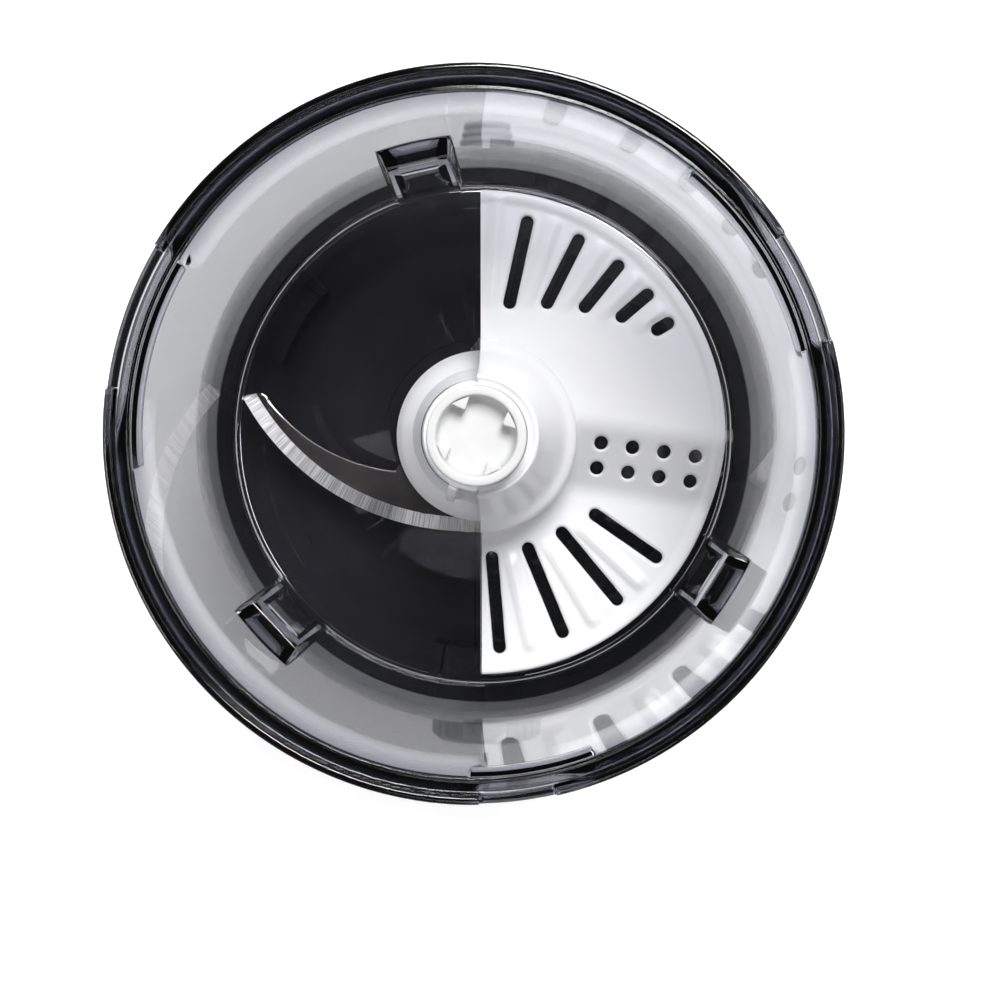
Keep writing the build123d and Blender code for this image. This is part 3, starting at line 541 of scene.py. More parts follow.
hub_grey = plastic("hub_grey", (0.84, 0.84, 0.842), (0.87, 0.87, 0.872), (0.32, 0.40), 0.6, 0.003, 14)
cap_white = plastic("cap_white", (0.60, 0.60, 0.605), (0.64, 0.64, 0.642), (0.28, 0.40), 0.6, 0.01, 12)
disc_white = plastic("disc_white", (0.77, 0.77, 0.775), (0.79, 0.79, 0.793), (0.30, 0.34), 0.7, 0.003, 18)
knob_plastic = plastic("knob_plastic", (0.55, 0.56, 0.57), (0.61, 0.62, 0.63), (0.30, 0.45), 0.5, 0.025, 10)
marker_white = plastic("marker_white", (0.84, 0.84, 0.84), (0.88, 0.88, 0.88), (0.3, 0.4), 0.5, 0.01, 6)
blade_steel = ground_steel("blade_steel", EDGE_CENTRE)
upper_blade_steel = ground_steel("upper_blade_steel", (-EDGE_CENTRE[0], -EDGE_CENTRE[1]))


# ------------------------------------------------------------------ CAD nodes that keep their shape
FINISHES = {
    "white_shell": white_shell, "black_deck": black_deck, "dark_plastic": dark_plastic,
    "foot_rubber": foot_rubber,
    "screw_steel": screw_steel, "plate_steel": plate_steel, "bronze": bronze, "seal_rubber": seal_rubber,
    "core_steel": core_steel, "copper": copper, "brass_tube": brass_tube, "carbon": carbon, "board": board,
    "terminal_plastic": terminal_plastic, "gland_plastic": gland_plastic, "shaft_steel": shaft_steel,
    "gear_plastic": gear_plastic, "smoked_clear": smoked_clear, "hub_grey": hub_grey, "cap_white": cap_white,
    "blade_steel": blade_steel, "disc_white": disc_white, "disc_clear": disc_clear,
    "knob_plastic": knob_plastic,
    "marker_white": marker_white,
}
for part in frame["record"]["subparts"]:
    node = frame["nodes"][part["node"]]
    node.data.materials.clear()
    node.data.materials.append(FINISHES[part["material_slot"]])


# ------------------------------------------------------------------ bowl
def wall_inside(height):
    """Inner radius of the tapered wall at a height above the bowl's floor."""
    return FLOOR_RADIUS + WALL_TAPER * height / BOWL_DEPTH


WALL = 2.7
FLARE_LOW = 86
FLARE_HIGH = 97
NOTCH_LOW = 95
NOTCH_SLOPE = 1.36
LID_LUG_RADIUS = 67.7
BLOCK_TOP = 62.0
BLOCK_WALL = 2.6
BLOCK_ROOF = 14.0
LIP_NOTCHES = ((24.0, 18.0), (160.8, 23.5), (277.0, 12.0))
NOTCH_TAILS = (15.5, 12.0, 8.0)


def block_face(height):
    """Distance of a block's flat inner face from the axis."""
    return lerp(62.4, 61.7, height / BLOCK_TOP)


def block_half_width(height):
    return lerp(8.5, 7.35, height / BLOCK_TOP)


def flare_radius(height):
    """Radius of the flared collar that carries the rim."""
    share = (height - FLARE_LOW) / (FLARE_HIGH - FLARE_LOW)
    return lerp(wall_inside(FLARE_LOW) + WALL, RIM_RADIUS, share)


def notch_radius(height):
    """Radius of the same collar inside a lip notch, where the flare is left out."""
    return wall_inside(min(height, NOTCH_LOW)) + WALL + max(height - NOTCH_LOW, 0) * NOTCH_SLOPE


def bowl_profile():
    """Closed outline of the bowl's wall, floor and middle column, with the side each point belongs to."""
    low = [
        (6.5, FLOOR - 2.5, 0.4), (62.8, FLOOR - 2.5, 0), (63.8, FLOOR - 3.5, 0), (63.8, SKIRT_FOOT, 0.3),
        (66.2, SKIRT_FOOT, 0.6), (66.2, FLOOR, 1.0),
    ]
    near_foot = [2, 2.4, 2.8, 3.2, 5]
    near_roof = [46.5, 47.3, 47.6, 47.9, 48.2, 48.6, 50, 54, 60, 66, 73, 80]
    outer = [(wall_inside(h) + WALL, FLOOR + h, 0) for h in near_foot + spread(10, 44, 6) + near_roof]
    flare = [(flare_radius(h), FLOOR + h, 0) for h in (86, 88, 90, 92, 94, 95, 95.4, 96, 96.5)]
    rim = [
        (RIM_RADIUS, FLOOR + 97.2, 0.3), (RIM_RADIUS, RIM_TOP, 0.9),
        (73.2, RIM_TOP, 0.85), (72.9, RIM_TOP - 2.8, 0.5), (70.3, RIM_TOP - 2.8, 0.4),
        (70.2, RIM_TOP - 0.8, 0.35),
        (69.5, RIM_TOP - 0.8, 0.35),
    ]
    near_lugs = [103.4, 103.2, 103.0, 102.8, 102.4, 101.5, 100.4, 100.0, 99.8, 99.6, 99.4, 99.2, 98.6]
    below_lugs = [97, 94, 90, 86, 80, 74, 68, 64, 62.6, 62.2]
    below_blocks = [60, 59, 56] + spread(50, 10, 6) + [6, 4]
    heights = near_lugs + below_lugs + spread(62, 60.4, 9) + below_blocks
    inner = [(wall_inside(h), FLOOR + h, 0) for h in heights]
    floor = [
        (FLOOR_RADIUS, FLOOR, 0.4), (60, FLOOR, 0), (40, FLOOR, 0), (8.5, FLOOR, 1.0), (8.2, FLOOR + 45, 0.7),
        (6.5, FLOOR + 45, 0.5),
    ]
    named = {"low": low, "outer": outer, "flare": flare, "rim": rim, "inner": inner, "floor": floor}
    points = []
    for side, corners in named.items():
        points += [(corner_point, side) for corner_point in corners]
    outline = rounded([point for point, _ in points], 4)
    sides = []
    for (x, y, radius), side in points:
        sides += [side] * (5 if radius > 0 else 1)
    return list(zip(outline, sides))


def column_angles():
    """Directions of the bowl's mesh columns, closer together at the blocks' and lugs' sides."""
    angles = [i * 1.25 for i in range(288)]
    for middle in BLOCK_ANGLES:
        for side in (-1, 1):
            angles += [middle + side * reach for reach in spread(4.9, 8.9, 36)]
    for middle, arc in LID_LUGS:
        for side in (-1, 1):
            angles += [middle + side * (arc / 2 + reach) for reach in spread(-1.2, 0.4, 9)]
    for middle, arc in LIP_NOTCHES:
        for side in (-1, 1):
            angles += [middle + side * (arc / 2 + reach) for reach in spread(-1.0, 0.8, 12)]
    ordered = sorted(angle % 360 for angle in angles)
    kept = [ordered[0]]
    for angle in ordered[1:]:
        if angle - kept[-1] > 0.06:
            kept.append(angle)
    return kept


def away(angle, middle):
    """Angle from a middle direction, between -180 and 180."""
    return (angle - middle + 180) % 360 - 180


def bowl_reach(angle, radius, height, side):
    """Radius of the bowl's surface in one direction, with the hollow blocks and the lid lugs."""
    for middle in BLOCK_ANGLES:
        turn = away(angle, middle)
        if abs(turn) > 12 or side not in ("inner", "outer", "floor"):
            continue
        face = block_face(height)
        across = face * tan(radians(abs(turn)))
        if side == "outer":
            window = 1 - smoothstep(-0.35, 0.35, across - block_half_width(height) + BLOCK_WALL)
            roof = BLOCK_TOP - BLOCK_ROOF
            window *= smoothstep(2.4, 3.0, height) * (1 - smoothstep(roof - 0.5, roof + 0.2, height))
            radius = lerp(radius, (face + BLOCK_WALL) / cos(radians(turn)), window)
        elif radius > 61:
            window = 1 - smoothstep(-0.55, 0.55, across - block_half_width(height))
            window *= 1 - smoothstep(BLOCK_TOP - 0.9, BLOCK_TOP, height)
            radius = lerp(radius, min(radius, face / cos(radians(turn))), window)
    if side == "flare":
        for (middle, arc), tail in zip(LIP_NOTCHES, NOTCH_TAILS):
            turn = away(angle, middle)
            window = smoothstep(-arc / 2 - 3.0, -arc / 2 + 0.6, turn)
            window *= 1 - smoothstep(arc / 2, arc / 2 + tail, turn)
            radius = lerp(radius, notch_radius(height), window)
    if side == "inner" and height > 98:
        for middle, arc in LID_LUGS:
            turn = abs(away(angle, middle))
            window = 1 - smoothstep(arc / 2 - 0.8, arc / 2, turn)
            window *= smoothstep(99.35, 99.85, height) * (1 - smoothstep(102.7, 103.25, height))
            radius = lerp(radius, LID_LUG_RADIUS, window)
    return radius


def lip_height(angle, radius, height):
    """Height of the rim, lowered in the notches of its outer lip."""
    low = RIM_TOP - 2.6
    if radius < 72.5 or height < low:
        return height
    for middle, arc in LIP_NOTCHES:
        window = 1 - smoothstep(arc / 2 - 0.25, arc / 2 + 0.25, abs(away(angle, middle)))
        height = lerp(height, low, window)
    return height


def make_bowl():
    profile = bowl_profile()
    columns = column_angles()
    vertices = []
    for angle in columns:
        for (radius, z), side in profile:
            reach = bowl_reach(angle, radius, z - FLOOR, side)
            vertices.append((*polar(reach, angle), lip_height(angle, radius, z) if side == "rim" else z))
    count = len(profile)
    faces = []
    for i in range(len(columns)):
        here, there = i * count, (i + 1) % len(columns) * count
        for j in range(count):
            k = (j + 1) % count
            faces.append([here + j, there + j, there + k, here + k])
    piece("bowl_shell", vertices, faces, "bowl_body", "smoked_clear", smoked_clear, ["bowl"], 50)


make_bowl()


# ------------------------------------------------------------------ hub, cap and blades
def make_hub():
    profile = rounded(
        [(21.2, FLOOR + 2, 0.5), (21.2, FLOOR + 11, 1.2), (19.6, FLOOR + 15, 2.0), (16.2, FLOOR + 22, 5.0),
         (13.8, FLOOR + 38, 6.0), (12.2, CAP_FOOT, 0.5), (6, CAP_FOOT, 0), (6, FLOOR + 57.6, 0),
         (9, FLOOR + 46.6, 0), (9, FLOOR + 2, 0.4), (11, FLOOR + 2, 0.4), (11, FLOOR + 10, 0.4),
         (19, FLOOR + 9, 0.4), (19, FLOOR + 2, 0.4)]
    )
    hub = turned(profile, 160)
    ribs = []
    for angle in (82, 244):
        side = rounded(
            [(10.5, FLOOR + 17, 0), (16.4, FLOOR + 18.5, 1), (17.2, FLOOR + 30, 3), (13.4, FLOOR + 57, 1),
             (10.5, FLOOR + 59, 0)], 3)
        lean = prism(side, -1.15, 1.15)
        upright = Matrix.Rotation(radians(angle), 4, "Z") @ Matrix.Rotation(pi / 2, 4, "X")
        ribs.append((moved(lean[0], upright), lean[1]))
    found = piece("hub_body", *joined(hub, *ribs), "blade_tool", "hub_grey", hub_grey, ["blade_hub"], 30)
    soften(found, 0.45, 3, 60)
    shade(found.data, 40)


RECESS_DEPTH = 4.5


def make_cap():
    floor = CAP_TOP - RECESS_DEPTH
    profile = rounded(
        [(0, CAP_FOOT, 0), (11, CAP_FOOT, 0.3), (11, CAP_TOP, 0.8), (8.9, CAP_TOP, 0.6), (8.4, floor, 1.6),
         (0, floor, 0)],
        5, closed=False,
    )
    cap = turned(profile, 128, closed=False)
    teeth = []
    for angle in range(24, 384, 90):
        outline = [
            polar(9.0, angle - 15), polar(6.3, angle - 2.5), polar(6.3, angle + 2.5), polar(9.0, angle + 15),
        ]
        teeth.append(prism(outline[::-1], floor - 0.5, CAP_TOP - 0.7))
    found = piece("drive_cap", *joined(cap, *teeth), "blade_tool", "cap_white", cap_white, ["hub_cap"], 30)
    soften(found, 0.35, 3, 50)
    shade(found.data, 40)


def arc_points(centre, radius, start, end, count):
    """Points along an arc from start to end, both points on it, the short way round."""
    low = atan2(start[1] - centre[1], start[0] - centre[0])
    high = atan2(end[1] - centre[1], end[0] - centre[0])
    turn = (high - low + pi) % (2 * pi) - pi
    angles = [low + turn * i / count for i in range(count + 1)]
    return [(centre[0] + radius * cos(angle), centre[1] + radius * sin(angle)) for angle in angles]


def arc_centre(start, end, radius, side):
    """Centre of an arc through two points; side 1 puts it to the left of the way from start to end."""
    middle = ((start[0] + end[0]) / 2, (start[1] + end[1]) / 2)
    reach = hypot(end[0] - start[0], end[1] - start[1]) / 2
    rise = (radius * radius - reach * reach) ** 0.5
    normal = (-(end[1] - start[1]) / (2 * reach), (end[0] - start[0]) / (2 * reach))
    return (middle[0] + side * rise * normal[0], middle[1] + side * rise * normal[1])


def blade_sections():
    """Points from the tip to the root: cutting edge, inner end of the bevel and back of the blade."""
    tip, tip_back, heel = (-60.1, 9.4), (-53.6, 9.4), (-21.9, -8.8)
    edge = [(-59.2, 10.3), (-59.8, 9.9)] + arc_points(EDGE_CENTRE, EDGE_RADIUS, tip, (0, -23.9), 78)
    bevel = arc_points(EDGE_CENTRE, EDGE_RADIUS - BEVEL, (-56.6, 10.55), (0, -23.9 + BEVEL), 80)
    back_centre = arc_centre((-54.6, 10.3), heel, BACK_RADIUS, 1)
    back = [(-56.2, 10.75), (-55.4, 10.7), (-54.7, 10.4), (-54.1, 9.95)]
    back += arc_points(back_centre, BACK_RADIUS, tip_back, heel, 64)
    back += [(-21.3, -7.7), (-20.9, -7.1), (-20.3, -6.8)]
    back += [(-20.3 + 1.6 * i, -6.8 - 0.2 * i) for i in range(1, 10)]
    edge += [(0.9, -23.8), (1.7, -23.2), (3.4, -20.5), (5, -17)]
    bevel += [(0.6, -20.9), (1.2, -20.6), (2.4, -19.0), (4, -16)]
    back += [(-4, -9), (-2, -9.5), (0, -10), (2, -10.5)]
    return edge, bevel, back[:len(edge)]


def make_blade(name, node, slot_material, lift, turn):
    edge, bevel, back = blade_sections()
    low, high = BLADE_LOW + lift, BLADE_LOW + lift + BLADE_THICKNESS
    rows = []
    for e, b, k in zip(edge, bevel, back):
        inset = Vector((b[0] - k[0], b[1] - k[1]))
        inset = inset.normalized() * min(0.45, inset.length / 3) if inset.length > 0.01 else inset
        rows.append([
            (*e, low + 0.1), (*b, high), (k[0] + inset.x, k[1] + inset.y, high), (*k, high - 0.13), (*k, low),
            (*e, low),
        ])
    spun = Matrix.Rotation(radians(turn), 4, "Z")
    vertices = [tuple(spun @ Vector(v)) for row in rows for v in row]
    width = len(rows[0])
    faces = [[0, 1, 2, 3, 4, 5], [len(vertices) - 1 - i for i in range(width)]]
    for i in range(len(rows) - 1):
        for j in range(width):
            k = (j + 1) % width
            faces.append([i * width + j, i * width + k, (i + 1) * width + k, (i + 1) * width + j])
    piece(name, vertices, faces, "blade_tool", "blade_steel", slot_material, [node], 12)


make_hub()
make_cap()
make_blade("lower_arm", "lower_blade", blade_steel, 0, 0)
make_blade("upper_arm", "upper_blade", upper_blade_steel, BLADE_STEP, 180)


# ------------------------------------------------------------------ whipping disc
SLOT_WIDTH = 3.1
SLOT_END = 52.4
UPPER_SLOTS = ((77.7, 32.7), (63.4, 35.7), (51.0, 39.8), (40.2, 44.3), (31.0, 49.4))
LOWER_SLOTS = ((-85.2, 30.0), (-67.6, 30.0), (-50.4, 31.0), (-34.8, 34.0))
UPPER_RIDGES = ((85.5, 33, 57), (70.7, 35, 55), (56.7, 38, 54.5), (45.0, 42, 54), (34.4, 46.5, 53.5))
LOWER_RIDGES = ((-77.0, 31, 54.5), (-59.0, 32, 54.5), (-43.3, 33, 54.5))
DISC_TURN = 8.2
DISC_HIGH = 29.0
DISC_LOW = 17.5
DISC_THICKNESS = 2.2
HOLES = [(29 + 7.67 * hole, row) for hole in range(4) for row in (2.5, -3.7)]
HOLE_RADIUS = 1.67
COLLAR = (
    (12.6, 65.2), (12.8, 65.5), (13.3, 65.6), (13.7, 65.2), (13.9, 64), (14.2, 60), (15.0, 54), (16.0, 49),
    (17.0, 44), (18.1, 39.4), (19.1, 35.9), (19.9, 33.8), (20.6, 32.6), (21.3, 31.9), (22.0, 31.4),
    (22.6, 30.8), (23.0, 30.0), (23.2, 29.0),
    (23.3, 27.0), (23.35, 24.0), (23.4, 21.0), (23.5, 19.4), (23.8, 18.4), (24.3, 17.8), (25.0, 17.5),
)


def smooth_max(a, b, soft):
    share = max(soft - abs(a - b), 0.0) / soft
    return max(a, b) + share * share * soft / 4


def opening_distance(x, y):
    """Distance outside the nearest slot or hole of the disc, negative inside."""
    best = 1e9
    for angle, start in UPPER_SLOTS + LOWER_SLOTS:
        ux, uy = polar(1, angle)
        along = min(max(x * ux + y * uy, start), SLOT_END)
        best = min(best, hypot(x - along * ux, y - along * uy) - SLOT_WIDTH / 2)
    c, s = cos(radians(DISC_TURN)), sin(radians(DISC_TURN))
    for along, row in HOLES:
        hx, hy = along * c + row * s, row * c - along * s
        best = min(best, hypot(x - hx, y - hy) - HOLE_RADIUS)
    return best


def sheet_height(x, y):
    """Height of the bent sheet: low sector, soft-edged ramp and high sector."""
    c, s = cos(radians(DISC_TURN)), sin(radians(DISC_TURN))
    across = x * s + y * c
    return DISC_LOW + (DISC_HIGH - DISC_LOW) * ramp_share(across)


def ramp_share(across):
    """Share of the way up the ramp, straight in the middle and rounded at both ends."""
    low, high, soft = -9.5, 7.0, 2.2
    share = (across - low) / (high - low)
    bend = soft / (high - low)
    if share < -bend:
        return 0.0
    if share < bend:
        return (share + bend) ** 2 / (4 * bend)
    if share < 1 - bend:
        return share
    if share < 1 + bend:
        return 1 - (1 + bend - share) ** 2 / (4 * bend)
    return 1.0


def ridge_height(x, y):
    """Height of the flutes between the slots: a long slope up to a crest, and a steeper one down."""
    total = 0.0
    for angle, start, end in UPPER_RIDGES + LOWER_RIDGES:
        ux, uy = polar(1, angle)
        along, across = x * ux + y * uy, x * uy - y * ux
        if not start - 3 < along < end + 2 or abs(across) > 5:
            continue
        width = 3.2 if across < 0 else 2.2
        rise = max(0.0, 1 - abs(across) / width)
        rise = rise * rise * (3 - 2 * rise) if rise < 0.5 else rise * 0.9 + 0.05
        height = 1.1 * rise * smoothstep(start - 3, start + 2, along)
        height *= 1 - smoothstep(end - 2, end + 1, along)
        total = max(total, height)
    return total


def disc_top(x, y, radius):
    """Height of the disc's upper face above the bowl's floor."""
    height = sheet_height(x, y)
    height += 1.0 * smoothstep(DISC_RADIUS - 3.4, DISC_RADIUS - 1.6, radius)
    lip = radius - (DISC_RADIUS - 0.9)
    if lip > 0:
        height -= 0.9 - max(0.81 - lip * lip, 0.0) ** 0.5
    distance = opening_distance(x, y)
    height += ridge_height(x, y) * smoothstep(0.2, 1.5, distance)
    if distance < 0.8:
        height -= 0.8 - max(0.64 - (0.8 - max(distance, 0.0)) ** 2, 0.0) ** 0.5
    return height


def disc_rows():
    """Radii of the sheet's mesh rows."""
    return [25.6 + 0.36 * i for i in range(int((DISC_RADIUS - 1.2 - 25.6) / 0.36))] + [
        DISC_RADIUS - gap for gap in (1.3, 1.05, 0.85, 0.65, 0.48, 0.32, 0.18, 0.08, 0.02, 0.0)]


def make_disc_half():
    columns = spread(-90, 90, 401)
    rows = disc_rows()
    first = len(COLLAR)
    upper, lower = [], []
    for angle in columns:
        for radius, height in COLLAR:
            x, y = polar(radius, angle)
            sheet = sheet_height(x, y)
            z = smooth_max(height, sheet, 1.2) if radius > 20 else height
            drop = smoothstep(21.5, 24.5, radius)
            inner = radius - lerp(1.5, 0.0, drop)
            upper.append((max(x, 0.05), y, FLOOR + z))
            lx, ly = polar(inner, angle)
            lower.append((max(lx, 0.05), ly, FLOOR + z - lerp(0.4, DISC_THICKNESS, drop)))
        for radius in rows:
            x, y = polar(radius, angle)
            z = disc_top(x, y, radius)
            base = sheet_height(x, y) - DISC_THICKNESS
            upper.append((max(x, 0.05), y, FLOOR + z))
            lower.append((max(x, 0.05), y, FLOOR + min(base, z - 0.3)))
    deep = first + len(rows)
    shift = len(upper)
    quads = []
    for i in range(len(columns) - 1):
        for j in range(deep - 1):
            quads.append([i * deep + j, (i + 1) * deep + j, (i + 1) * deep + j + 1, i * deep + j + 1])
    border = {}
    for quad in quads:
        for a, b in zip(quad, quad[1:] + quad[:1]):
            if (b, a) in border:
                del border[(b, a)]
            else:
                border[(a, b)] = True
    faces = quads + [[v + shift for v in quad[::-1]] for quad in quads]
    faces += [[b, a, a + shift, b + shift] for a, b in border]
    vertices = upper + lower
    return vertices, faces


def disc_openings():
    """Cutters for the slots and holes."""
    cutters = []
    for angle, start in UPPER_SLOTS + LOWER_SLOTS:
        slot = prism(capsule(SLOT_END - start + SLOT_WIDTH, SLOT_WIDTH, 12), FLOOR, FLOOR + 45)
        place = Matrix.Rotation(radians(angle), 4, "Z") @ Matrix.Translation(((start + SLOT_END) / 2, 0, 0))
        cutters.append((moved(slot[0], place), slot[1]))
    for along, row in HOLES:
        hole = prism([polar(HOLE_RADIUS, i * 15) for i in range(24)], FLOOR, FLOOR + 45)
        place = Matrix.Rotation(radians(-DISC_TURN), 4, "Z") @ Matrix.Translation((along, row, 0))
        cutters.append((moved(hole[0], place), hole[1]))
    return cutters


def make_disc():
    white = piece("disc_right", *make_disc_half(), "disc", "disc_white", disc_white, ["disc_half_white"], 42)
    cut(white, disc_openings(), "MANIFOLD")
    web_outline = [(0.06, 22.5), (1.5, 22.5), (1.5, 58.0), (0.06, 58.0)]
    web = prism(web_outline, FLOOR + DISC_LOW - DISC_THICKNESS + 0.1, FLOOR + DISC_HIGH - 1.2)
    add_shape(white, web)
    shade(white.data, 42)
    half_turn = Matrix.Rotation(pi, 4, "Z")
    mesh = white.data.copy()
    mesh.transform(half_turn)
    other = bpy.data.objects.new("disc_left", mesh)
    bpy.context.scene.collection.objects.link(other)
    dress(other, "disc", disc_clear, ["disc_half_clear"], 42)


make_disc()


# ------------------------------------------------------------------ motor base
def make_housing():
    inner = BASE_RADIUS - 2.5
    foot = corner("housing", 0, 2)
    outer_corners = [
        (inner, foot, 0), (BASE_RADIUS - 1.5, foot, 0.8), (BASE_RADIUS, foot + 4, 4), (BASE_RADIUS, 62, 0),
    ]
    shoulder = []
    bend = 0.62
    sweep = pi / 2 * bend
    for i in range(1, 15):
        share = i / 15
        angle = share * pi / 2 * bend
        inward = 6.4 * (1 - cos(angle)) / (1 - cos(sweep))
        shoulder.append((BASE_RADIUS - inward, 62 + 27 * sin(angle) / sin(sweep), 0))
    top = [
        (73.6, DECK_TOP, 0.5), (71.1, DECK_TOP, 0.3), (71.1, DECK_TOP - 3, 0), (68, DECK_TOP - 3, 0),
        (68, DECK_TOP - 5.2, 0), (72, DECK_TOP - 5.2, 0), (inner, 66, 2),
    ]
    profile = rounded(outer_corners + shoulder + top, 4)
    shell = scratch(*turned(profile, 180))
    cutters = []
    for angle in [54 + 6 * i for i in range(3)] + [114 + 6 * i for i in range(3)]:
        slot = prism(capsule(26, 3), -9, 9)
        place = Matrix.Rotation(radians(angle), 4, "Z") @ Matrix.Translation((BASE_RADIUS, 0, 44))
        place = place @ Matrix.Rotation(pi / 2, 4, "Y")
        cutters.append((moved(slot[0], place), slot[1]))
    for radius, z, side in ((5.2, KNOB_Z, -1), (6.35, BUTTON_Z, -1), (7.2, GLAND_Z, 1)):
        hole = prism([polar(radius, i * 11.25) for i in range(32)], -9, 9)
        place = Matrix.Translation((0, side * BASE_RADIUS, z)) @ Matrix.Rotation(pi / 2, 4, "X")
        cutters.append((moved(hole[0], place), hole[1]))
    cut(shell, cutters)
    soften(shell, 0.35, 2, 50)
    shell.name = "base_shell"
    dress(shell, "base", white_shell, ["housing"], 35)


def make_feet():
    profile = rounded(
        [(0, 0.5, 0), (2.4, 0.5, 0.2), (2.6, 0, 0.2), (4.0, 0, 0.2), (4.2, 0.5, 0.2), (5.0, 0.5, 0.2),
         (5.2, 0, 0.2), (6.2, 0, 0.2), (7.0, 0.8, 0.4), (7.0, 3.4, 0.3), (6.6, 4.0, 0.2), (2.5, 4.0, 0),
         (2.5, 8.0, 0.3), (0, 8.0, 0)],
        2, closed=False,
    )
    foot = turned(profile, 40, closed=False)
    spots = [polar(61, 45 + 90 * i) for i in range(4)]
    feet = [(moved(foot[0], Matrix.Translation((x, y, 0))), foot[1]) for x, y in spots]
    piece("feet", *joined(*feet), "base", "foot_rubber", foot_rubber, ["rubber_feet"], 40)


def facing_front(part, y, z):
    """Turns a shape made about +Z so that its top faces the front, with its origin at (0, y, z)."""
    place = Matrix.Translation((0, y, z)) @ Matrix.Rotation(pi / 2, 4, "X")
    return moved(part[0], place), part[1]


def make_knob():
    depth = -KNOB_FRONT - KNOB_BACK
    disc = 8.0
    profile = rounded(
        [(0, -15, 0), (3, -15, 0.3), (3, 0, 0), (KNOB_RADIUS - 0.6, 0, 0.4), (KNOB_RADIUS, 0.8, 0.4),
         (KNOB_RADIUS, disc - 1.4, 1.2), (KNOB_RADIUS - 2.2, disc, 1.2), (0, disc, 0)], 4, closed=False)

    def grip(j, angle, radius):
        return radius - 0.32 * (0.5 + 0.5 * cos(30 * angle)) if radius > KNOB_RADIUS - 1.2 else radius

    dial = turned(profile, 240, grip, closed=False)
    length = 2 * KNOB_RADIUS - 3
    bar_outline = [(y, x) for x, y in capsule(length, 6, 10)]
    bar = prism(bar_outline[::-1], disc - 2, depth)
    shape = facing_front(joined(dial, bar), -KNOB_BACK, KNOB_Z)
    found = piece("dial", *shape, "knob", "knob_plastic", knob_plastic, ["speed_knob"], 35)
    mark_outline = [(y, x) for x, y in capsule(6.1, 1.7)][::-1]
    mark = facing_front(prism(mark_outline, depth - 1, depth + 1), -KNOB_BACK, KNOB_Z + 9)
    cut(found, [mark])
    soften(found, 0.5, 3, 60)
    shade(found.data, 40)
    found.data.materials.clear()
    found.data.materials.append(knob_plastic)


def make_button():
    depth = -BUTTON_FRONT - BUTTON_BACK
    profile = rounded(
        [(0, -3, 0), (1.5, -3, 0.2), (1.5, 0, 0), (7.2, 0, 0.2), (7.2, 1.4, 0.2), (6, 1.4, 0),
         (6, depth, 0.9), (4.6, depth - 0.15, 1.5), (2, depth - 0.75, 3), (0, depth - 0.8, 0)],
        5, closed=False,
    )
    button = turned(profile, 96, closed=False)
    shape = facing_front(button, -BUTTON_BACK, BUTTON_Z)
    piece("button", *shape, "button", "knob_plastic", knob_plastic, ["pulse_button"], 35)


def make_gland():
    bore = 3.6
    corners = [
        (bore, -GLAND_END + 23, 0.3), (7, -GLAND_END + 23, 0.5), (7, -BASE_RADIUS - 0.2, 0),
        (9.9, -BASE_RADIUS - 0.2, 0.3), (9.9, -BASE_RADIUS - 3, 0.8),
    ]
    start, end = -BASE_RADIUS - 3.6, -GLAND_END + 0.4
    for i in range(4):
        share, later = i / 4, (i + 0.5) / 4
        corners.append((lerp(9.0, 6.8, share) - 1.2, lerp(start, end, share), 0.3))
        corners.append((lerp(9.0, 6.8, share) - 1.2, lerp(start, end, later), 0.3))
        corners.append((lerp(9.0, 6.8, later), lerp(start, end, later), 0.3))
        corners.append((lerp(9.0, 6.8, later), lerp(start, end, (i + 1) / 4), 0.3))
    corners += [(6.2, -GLAND_END, 0.5), (bore, -GLAND_END, 0.5)]
    gland = turned(rounded(corners, 3), 96)
    place = Matrix.Translation((0, 0, GLAND_Z)) @ Matrix.Rotation(pi / 2, 4, "X")
    shape = (moved(gland[0], place), gland[1])
    piece("gland", *shape, "base", "gland_plastic", gland_plastic, ["cable_gland"], 40)


make_housing()
make_feet()
make_knob()
make_button()
make_gland()


# ------------------------------------------------------------------ floor, light and camera
def make_stage():
    mesh = bpy.data.meshes.new("floor")
    size = 1.6
    square = [(-size, -size, 0), (size, -size, 0), (size, size, 0), (-size, size, 0)]
    mesh.from_pydata(square, [], [(0, 1, 2, 3)])
    floor = bpy.data.objects.new("floor", mesh)
    bpy.context.scene.collection.objects.link(floor)
    graph = Graph("floor_white")
    white = graph.mix(graph.noise(400.0), (0.80, 0.80, 0.80), (0.82, 0.82, 0.82))
    paper = graph.principled(**{"Base Color": white, "Roughness": graph.ramp(graph.noise(30.0), 0.6, 0.7)})
    paper.inputs["Emission Color"].default_value = (1, 1, 1, 1)
    paper.inputs["Emission Strength"].default_value = 0.56
    mesh.materials.append(graph.material)


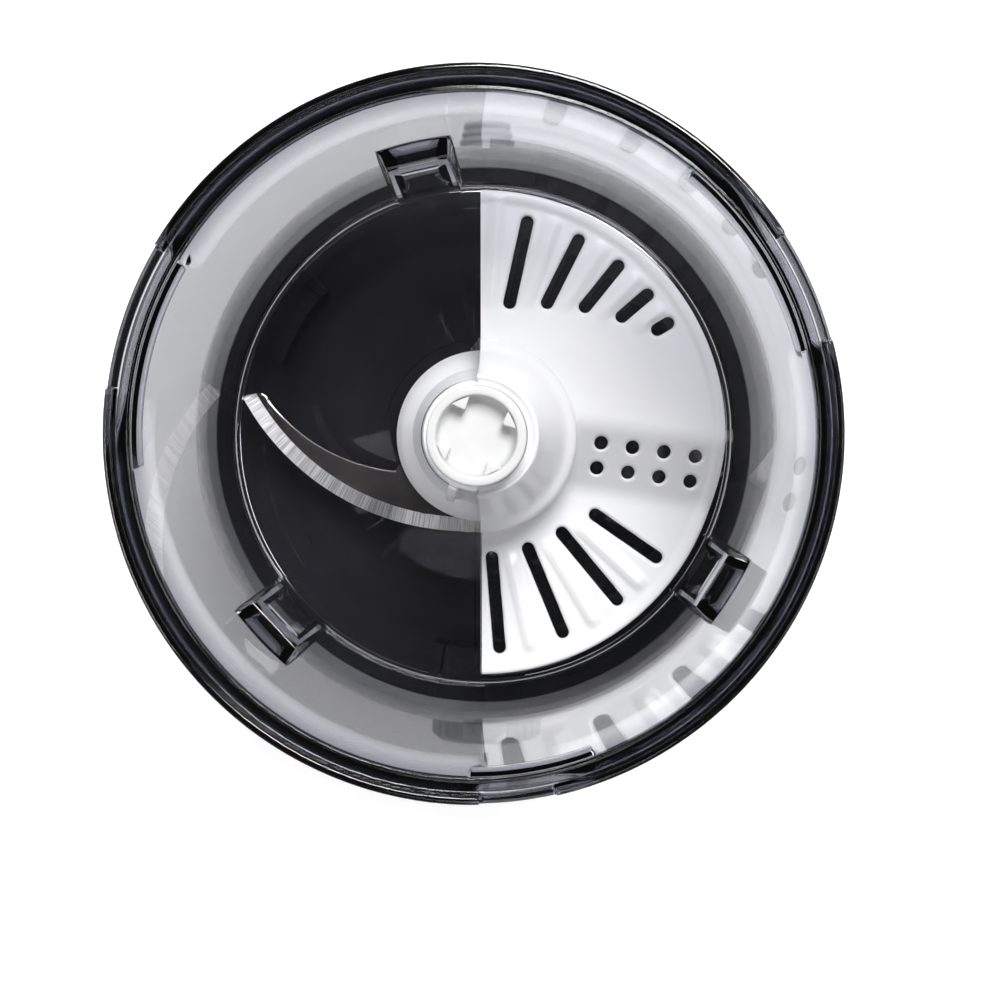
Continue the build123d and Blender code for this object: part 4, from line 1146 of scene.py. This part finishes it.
def softbox(name, place, size, power, colour=(1, 1, 1)):
    data = bpy.data.lights.new(name, "AREA")
    data.shape = "RECTANGLE"
    data.size, data.size_y = size
    data.energy = power
    data.color = colour
    lamp = bpy.data.objects.new(name, data)
    bpy.context.scene.collection.objects.link(lamp)
    lamp.location = place
    lamp.rotation_euler = (Vector((0, 0, 0.12)) - Vector(place)).to_track_quat("-Z", "Y").to_euler()


def make_world():
    world = bpy.data.worlds.new("studio")
    bpy.context.scene.world = world
    world.use_nodes = True
    tree = world.node_tree
    tree.nodes.clear()
    place = tree.nodes.new("ShaderNodeTexCoord")
    split = tree.nodes.new("ShaderNodeSeparateXYZ")
    fade = tree.nodes.new("ShaderNodeMapRange")
    fade.inputs["From Min"].default_value = 0.1
    fade.inputs["From Max"].default_value = 0.85
    fade.inputs["To Min"].default_value = 0.40
    fade.inputs["To Max"].default_value = 0.08
    light = tree.nodes.new("ShaderNodeBackground")
    output = tree.nodes.new("ShaderNodeOutputWorld")
    tree.links.new(place.outputs["Generated"], split.inputs[0])
    tree.links.new(split.outputs[2], fade.inputs["Value"])
    tree.links.new(fade.outputs[0], light.inputs["Strength"])
    tree.links.new(light.outputs[0], output.inputs[0])


def make_camera():
    data = bpy.data.cameras.new("camera")
    data.lens = 71.424
    data.clip_start = 0.01
    camera = bpy.data.objects.new("camera", data)
    bpy.context.scene.collection.objects.link(camera)
    camera.location = (0.0097, 0, RIM_TOP * MM + 0.4)
    aim = Vector((0.0106, 0.0323, -1))
    camera.rotation_mode = "QUATERNION"
    camera.rotation_quaternion = aim.rotation_difference(Vector((0, 0, -1)))
    bpy.context.scene.camera = camera


make_stage()
make_world()
softbox("key", (0.24, 0.70, 1.24), (0.6, 0.6), 24)
softbox("left_fill", (-0.95, -0.30, 1.15), (0.6, 0.6), 4)
softbox("front_fill", (0.10, -0.62, 1.28), (0.5, 0.5), 1)
softbox("right_fill", (1.0, -0.25, 0.9), (0.8, 0.8), 2.5)
make_camera()

scene = bpy.context.scene
scene.view_settings.view_transform = "Standard"
scene.cycles.max_bounces = 24
scene.cycles.transmission_bounces = 20
scene.cycles.glossy_bounces = 12
scene.cycles.transparent_max_bounces = 24
scene.cycles.use_denoising = True
